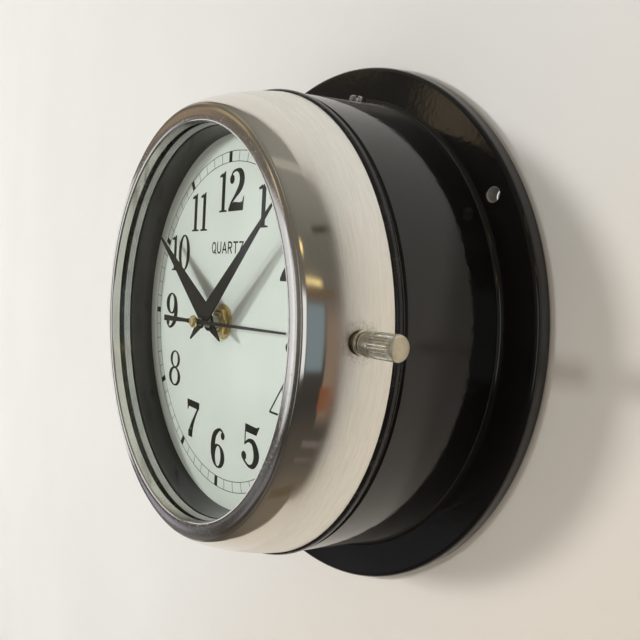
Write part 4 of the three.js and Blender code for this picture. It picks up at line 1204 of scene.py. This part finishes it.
def make_centre_fittings():
    """The nut, washers and threaded bush that hold the dial to the movement."""
    washer = rounded([(4.3, NUT_BACK, 0.08), (7.5, NUT_BACK, 0.25), (7.5, -59.62, 0.1), (4.3, -59.62, 0.05)])
    add_piece("brass_washer", lathe(washer, CENTRE_ROUND))
    hexagon = lathe([(0, NUT_FRONT), (NUT_CORNER_R, NUT_FRONT), (NUT_CORNER_R, NUT_BACK), (0, NUT_BACK)], 6)
    dome = [(0, -62.4), (4.8, -62.4), (6.2, -61.75), (6.2, -60.65), (5.4, -60.1), (0, -60.1)]
    nut = carved(hexagon, lathe(dome, CENTRE_ROUND), operation="INTERSECT")
    nut = carved(nut, hole(NUT_BORE_R, NUT_FRONT, NUT_BACK, 0, 0, 0.2, SMALL_ROUND))
    add_piece("hex_nut", bevelled(nut, 0.12, 2))
    thread = []
    y = -62.5
    while y < -58.0:
        thread += [(BUSH_THREAD_R, y), (BUSH_ROOT_R, y + BUSH_THREAD_PITCH / 2)]
        y += BUSH_THREAD_PITCH
    bush = [
        (BUSH_BORE_R, -62.75), (3.05, -62.9), (3.6, -62.9), *thread, (BUSH_THREAD_R, -57.5), (6, -57.5),
        (6, -56.9), (4, -56.9), (4, -56.3), (BUSH_BORE_R, -56.3),
    ]
    add_piece("threaded_bush", lathe(bush, CENTRE_ROUND))
    cushion = rounded([(4.6, -58.6, 0.15), (10, -58.6, 0.3), (10, -57.6, 0.3), (4.6, -57.6, 0.15)])
    add_piece("rubber_washer", lathe(cushion, CENTRE_ROUND))


# ---- hands; each outline lies along +X before it is turned to its angle ----
HOUR_HAND_ANGLE = 146
MINUTE_HAND_ANGLE = 42
SECOND_HAND_ANGLE = 1.8


def hand_mesh(outline, angle, y_low, y_high, bore, edge, eye_r):
    """A stamped hand: a flat blade with a round eye, its edges rolled over."""
    blade = prism(outline, y_low, y_high)
    eye = lathe([(0, y_low), (eye_r, y_low), (eye_r, y_high), (0, y_high)], SMALL_ROUND)
    mesh = carved(carved(blade, eye, operation="UNION"), hole(bore, y_low, y_high, 0, 0, 0.03, 48))
    mesh = bevelled(mesh, edge, 2, 40)
    mesh.transform(Matrix.Rotation(math.radians(-angle), 4, "Y"))
    return mesh


def kite(length, tail, half_width, widest):
    """A blade that swells from a narrow tail to its widest place and tapers to a fine tip."""
    return [(-tail, -0.25), (widest, -half_width), (length, -0.35), (length, 0.35), (widest, half_width),
            (-tail, 0.25)]


NEEDLE_SIDE = [(-31, 1.3), (-9, 0.75), (-2, 1.2), (2, 1.2), (9, 0.75), (66, 0.35)]
NEEDLE = [(x, -half) for x, half in NEEDLE_SIDE] + NEEDLE_SIDE[::-1]
# The hands: CAD node, outline, angle, bore radius, rolled edge, eye radius.
HANDS = (
    ("hour_hand", kite(64, 12.5, 4.7, 7), HOUR_HAND_ANGLE, 2.65, 0.12, 3.9),
    ("minute_hand", kite(69, 12, 3.6, 6), MINUTE_HAND_ANGLE, 1.75, 0.12, 2.9),
    ("second_hand", NEEDLE, SECOND_HAND_ANGLE, 0.9, 0.08, 1.9),
)


def make_hands():
    for node, outline, angle, bore, edge, eye_r in HANDS:
        low, high = span(node)
        add_piece(node, hand_mesh(outline, angle, low.y, high.y, bore, edge, eye_r))
    low, high = span("second_hand_boss")
    boss_r, nose_r = 2.5, 1.7
    boss = rounded([(0, low.y, 0), (nose_r, low.y, 0.15), (boss_r, low.y + 0.6, 0.25), (boss_r, high.y, 0.12),
                    (0, high.y, 0)])
    add_piece("second_hand_boss", lathe(boss, SMALL_ROUND))


# ---- movement: the CAD nodes keep their shape ----
def dress_cad_nodes():
    """Gives every CAD node its finish; the ones replaced by fine pieces are not shown."""
    for name, node in frame["nodes"].items():
        node.data.materials.clear()
        node.data.materials.append(FINISH[SLOT_OF[name]])


# ---- stage, light and camera ----
STAGE_ROUGHNESS = 0.85


def stage_material(name, colour, painted_shadow=None, clear_back=False):
    """Matt paint. A painted shadow, a darker warm tone, lies over the part right of and below the clock; a
    clear back is unseen from behind.
    """
    g = Graph(name)
    cloud = g.noise(5, 3.0)
    pale = g.mix(g.between(cloud, 0.3, 0.7), colour, tuple(c * 0.97 for c in colour))
    if painted_shadow:
        # Painted shadow of the clock: the wall turns to the warm darker tone to the right of and below it,
        # out to x = 0.6 m.
        x, _, z = g.coordinates()
        away = g.math("SUBTRACT", g.times(x, 0.8), g.times(z, 0.7))
        near = g.between(x, 0.60, 0.25)
        pale = g.mix(g.times(near, g.between(away, -0.02, 0.20)), pale, painted_shadow)
    shader = g.principled(pale, STAGE_ROUGHNESS, Normal=g.bump(g.noise(220, 3.0), 0.05, 0.25))
    if clear_back:
        behind = g.add("NewGeometry").outputs["Backfacing"]
        shader = g.add("MixShader", {0: behind, 1: shader, 2: g.add("BsdfTransparent").outputs[0]}).outputs[0]
    return g.finish(shader)


def stage_object(name, mesh, material):
    mesh.materials.append(material)
    thing = new_object(name, mesh)
    return thing


def stage_sheet(name, corners, material):
    mesh = bpy.data.meshes.new(name)
    mesh.from_pydata(corners, [], [tuple(range(len(corners)))])
    return stage_object(name, mesh, material)


def open_wall(name, outer, opening, y, material):
    """An upright sheet facing -Y with an opening that the clock covers, so that light reaches its back."""
    work = bmesh.new()
    edges = []
    for outline in (outer, opening):
        verts = [work.verts.new((x, y, z)) for x, z in outline]
        edges += [work.edges.new(pair) for pair in zip(verts, verts[1:] + verts[:1])]
    bmesh.ops.triangle_fill(work, use_beauty=True, edges=edges)
    for face in work.faces:
        face.normal_update()
        if face.normal.y > 0:
            face.normal_flip()
    mesh = bpy.data.meshes.new(name)
    work.to_mesh(mesh)
    work.free()
    stage_object(name, mesh, material)


def card_material(name, colour, strength, soft=0.0):
    """A glow that may fade out over the outer part of a card drawn from -1 to 1."""
    g = Graph(name)
    shader = g.add("Emission", {"Color": (*colour, 1), "Strength": strength}).outputs[0]
    if soft:
        x, y, _ = g.coordinates()
        reach = [g.between(g.math("ABSOLUTE", value), 1.0, 1.0 - soft) for value in (x, y)]
        clear = g.add("BsdfTransparent").outputs[0]
        shader = g.add("MixShader", {0: g.times(*reach), 1: clear, 2: shader}).outputs[0]
    return g.finish(shader)


CARD_CENTRE = (0, -0.06, 0)


def card(name, azimuth, elevation, size, colour, strength, distance, soft):
    """A glowing card seen only in reflections. Azimuth 0 is straight out from the dial, 90 at 3 o'clock."""
    az, el = math.radians(azimuth), math.radians(elevation)
    outward = Vector((math.sin(az) * math.cos(el), -math.cos(az) * math.cos(el), math.sin(el)))
    half_w, half_h = (distance * math.tan(math.radians(angle / 2)) for angle in size)
    material = card_material(name, colour, strength, soft)
    sheet = stage_sheet(name, [(-1, -1, 0), (1, -1, 0), (1, 1, 0), (-1, 1, 0)], material)
    turn = outward.to_track_quat("Z", "Y").to_matrix().to_4x4()
    centre = Vector(CARD_CENTRE) + outward * distance
    sheet.matrix_world = Matrix.Translation(centre) @ turn @ Matrix.Diagonal((half_w, half_h, 1, 1))
    for ray in ("camera", "diffuse", "transmission", "shadow"):
        setattr(sheet, "visible_" + ray, False)


# Studio cards: name, azimuth, elevation, (width, height) in degrees, colour, strength, distance, soft edge.
CARDS = (
    ("window_left", -51, -1, (20, 25), (0.93, 0.95, 1.0), 0.78, 2.3, 0.25),
    ("window_left_core", -44, -4, (8, 32), (0.95, 0.97, 1.0), 1.15, 2.2, 0.4),
    ("window_left_end", -34, -5, (14, 30), (0.95, 0.97, 1.0), 0.75, 2.2, 0.4),
    ("pale_low", -42, -28, (26, 12), (0.36, 0.35, 0.36), 0.5, 2.2, 0.5),
    ("tan_mid", -56, 25, (16, 10), (0.42, 0.33, 0.20), 1.0, 2.2, 0.5),
    ("window_left_low", -70, -25, (14, 10), (0.60, 0.60, 0.68), 0.6, 2.2, 0.5),
    ("left_wall", -84.5, -5, (27, 33), (0.96, 0.95, 0.94), 1.0, 2.5, 0.12),
    ("below_window", -56, -21, (14, 10), (0.16, 0.16, 0.165), 1.0, 2.2, 0.6),
    ("brown_left", -69, 19, (18, 12), (0.30, 0.22, 0.155), 1.0, 2.2, 0.5),
    ("brown_high", -41, 17, (9, 13), (1.0, 0.78, 0.52), 0.85, 2.2, 0.7),
    ("warm_high", -42, 38, (34, 8), (1.0, 0.84, 0.58), 0.75, 2.2, 0.5),
    ("tan_high", -78, 34, (30, 12), (0.34, 0.26, 0.18), 1.0, 2.2, 0.5),
    ("grey_low", -80, -37, (40, 25), (0.20, 0.195, 0.19), 0.8, 2.4, 0.5),
    ("window_right", 45, -1, (20, 38), (0.95, 0.98, 1.0), 0.95, 2.2, 0.3),
    ("blue_grey", 68, -2, (26, 32), (0.24, 0.30, 0.33), 0.85, 2.3, 0.25),
    ("brown_post", 86, -14, (7, 60), (0.36, 0.26, 0.19), 0.7, 2.1, 0.5),
    ("lamp_one", 50, 34.5, (10, 6), (1.0, 0.75, 0.32), 1.9, 2.1, 0.6),
    ("lamp_two", 66, 21.5, (28, 3.6), (1.0, 0.78, 0.35), 1.2, 2.1, 0.5),
    ("brown_shelf", 72, 17, (34, 4), (0.15, 0.10, 0.06), 1.0, 2.15, 0.2),
    ("pale_beam", 62, 76, (60, 7), (0.42, 0.40, 0.35), 1.0, 2.1, 0.3),
    ("dark_beam", 85, 45, (20, 4), (0.05, 0.045, 0.035), 1.0, 2.1, 0.4),
    ("orange_low", 84, -28, (7, 13), (0.22, 0.09, 0.045), 1.0, 2.05, 0.35),
    ("grey_bands", 83, -49, (16, 4), (0.16, 0.14, 0.12), 1.0, 2.1, 0.3),
    ("grey_band_low", 80, -57, (16, 3), (0.14, 0.115, 0.10), 1.0, 2.1, 0.3),
    ("rear_soft", 150, 28, (56, 44), (1.0, 0.98, 0.95), 0.55, 2.2, 0.8),
    ("rear_side", 218, 8, (26, 50), (0.93, 0.96, 1.0), 0.9, 2.2, 0.5),
    ("tan_low", 62, -75, (26, 8), (0.22, 0.16, 0.10), 0.6, 2.1, 0.5),
)


def make_cards():
    for name, *settings in CARDS:
        card("card_" + name, *settings)


WALL_Y = 0.0006
FLOOR_Z = -0.75
STAGE_REACH = 3.0
BACKDROP_R = 9.0
HOLE_PATCH_R = 0.003


def make_wall():
    """A painted wall, open behind the clock except for small discs seen through the fixing holes."""
    # The second colour is the painted shadow laid on the wall right of and below the clock.
    paint = stage_material("wall_paint_and_painted_shadow", (0.86, 0.85, 0.84), (0.80, 0.735, 0.665), True)
    opening = (FLANGE_R - 1) * MM
    outer = [(-STAGE_REACH, FLOOR_Z), (STAGE_REACH, FLOOR_Z), (STAGE_REACH, STAGE_REACH),
             (-STAGE_REACH, STAGE_REACH)]
    open_wall("wall", outer, ellipse(0, 0, opening, opening, 96), WALL_Y, paint)
    for i, angle in enumerate(FIXING_ANGLES):
        x, z = (value * MM for value in polar(FIXING_CIRCLE, angle))
        patch = ellipse(x, z, HOLE_PATCH_R, HOLE_PATCH_R, 24)
        stage_sheet(f"wall_behind_hole_{i + 1}", [(px, WALL_Y, pz) for px, pz in patch], paint)


def make_backdrop():
    """A pale dome that only the camera sees."""
    dome = bpy.data.meshes.new("backdrop")
    work = bmesh.new()
    bmesh.ops.create_icosphere(work, subdivisions=3, radius=BACKDROP_R)
    work.to_mesh(dome)
    work.free()
    backdrop = stage_object("backdrop", dome, card_material("backdrop", (0.82, 0.81, 0.80), 1.0))
    for ray in ("diffuse", "glossy", "transmission", "volume_scatter", "shadow"):
        setattr(backdrop, "visible_" + ray, False)


def make_floor():
    corners = [(x * STAGE_REACH, y * STAGE_REACH, FLOOR_Z) for x, y in ((-1, -1), (1, -1), (1, 1), (-1, 1))]
    floor = stage_sheet("floor", corners, stage_material("floor", (0.80, 0.785, 0.77)))
    floor.visible_glossy = False


def area_light(name, place, size, watts, colour):
    """A rectangular light aimed at the clock and unseen in reflections."""
    light = bpy.data.lights.new(name, "AREA")
    light.shape = "RECTANGLE"
    light.size, light.size_y = size
    light.energy = watts
    light.color = colour
    lamp = new_object(name, light)
    lamp.location = place
    lamp.rotation_euler = (-Vector(place)).to_track_quat("-Z", "Y").to_euler()
    lamp.visible_glossy = False


# Reflected surroundings from straight down (0) to straight up (1).
WORLD_RAMP = (
    (0.07, (0.10, 0.085, 0.068, 1)), (0.25, (0.045, 0.040, 0.035, 1)), (0.38, (0.060, 0.053, 0.045, 1)),
    (0.50, (0.15, 0.135, 0.115, 1)), (0.63, (0.14, 0.125, 0.105, 1)), (0.82, (0.15, 0.143, 0.12, 1)),
)


def make_world():
    world = bpy.data.worlds.new("studio")
    world.use_nodes = True
    tree = world.node_tree
    tree.nodes.clear()
    place = tree.nodes.new("ShaderNodeTexCoord")
    split = tree.nodes.new("ShaderNodeSeparateXYZ")
    ramp = tree.nodes.new("ShaderNodeValToRGB")
    reach = tree.nodes.new("ShaderNodeMapRange")
    background = tree.nodes.new("ShaderNodeBackground")
    output = tree.nodes.new("ShaderNodeOutputWorld")
    reach.inputs["From Min"].default_value = -1.0
    ramp.color_ramp.elements[0].color = (0.18, 0.15, 0.11, 1)
    ramp.color_ramp.elements[1].color = (0.28, 0.27, 0.24, 1)
    for where, colour in WORLD_RAMP:
        ramp.color_ramp.elements.new(where).color = colour
    background.inputs["Strength"].default_value = 1.0
    tree.links.new(place.outputs["Generated"], split.inputs[0])
    tree.links.new(split.outputs[2], reach.inputs["Value"])
    tree.links.new(reach.outputs[0], ramp.inputs[0])
    tree.links.new(ramp.outputs[0], background.inputs["Color"])
    tree.links.new(background.outputs[0], output.inputs["Surface"])
    bpy.context.scene.world = world


# Lights: name, place, size, watts, colour.
LIGHTS = (
    ("key", (-1.65, -2.5, 0.30), (0.35, 0.35), 42, (1.0, 1.0, 0.98)),
    ("near", (-0.75, -2.9, 0.35), (0.3, 0.3), 13, (0.94, 1.0, 1.0)),
    ("front", (0.4, -2.5, 0.8), (2.0, 2.0), 5.5, (1.0, 0.90, 0.78)),
    ("overhead", (0.3, -0.9, 1.9), (1.6, 1.0), 2.4, (1.0, 0.92, 0.82)),
    ("rear", (1.3, 2.3, 1.1), (1.2, 1.2), 40, (1.0, 0.98, 0.95)),
    ("fill", (1.5, -1.6, 0.3), (1.4, 1.4), 1.6, (1.0, 0.80, 0.58)),
)


def make_lights():
    for settings in LIGHTS:
        area_light(*settings)


# The photograph's viewing angle: place in metres, then yaw, pitch and roll in degrees.
CAMERA_PLACE = (0.230, -0.1839, 0.021)
CAMERA_TURN = (52.67, 3.99, 3.31)
CAMERA_LENS = 34.60


def make_camera():
    yaw, pitch, roll = map(math.radians, CAMERA_TURN)
    forward = Vector((-math.sin(yaw) * math.cos(pitch), math.cos(yaw) * math.cos(pitch), -math.sin(pitch)))
    right = Vector((math.cos(yaw), math.sin(yaw), 0))
    up = right.cross(forward)
    side = right * math.cos(roll) + up * math.sin(roll)
    top = up * math.cos(roll) - right * math.sin(roll)
    data = bpy.data.cameras.new("camera")
    data.lens = CAMERA_LENS
    data.sensor_width = 36
    data.clip_start = 0.01
    camera = new_object("camera", data)
    camera.matrix_world = Matrix((side, top, -forward)).transposed().to_4x4()
    camera.matrix_world.translation = CAMERA_PLACE
    bpy.context.scene.camera = camera


make_camera()
dress_cad_nodes()
make_case()
make_side_screw()
make_rear_cover()
make_bezel_gasket()
make_bezel()
make_glass()
make_hinge()
make_latch()
make_dial()
make_centre_fittings()
make_hands()
make_wall()
make_backdrop()
make_floor()
make_cards()
make_world()
make_lights()
bpy.context.scene.view_settings.view_transform = "Standard"
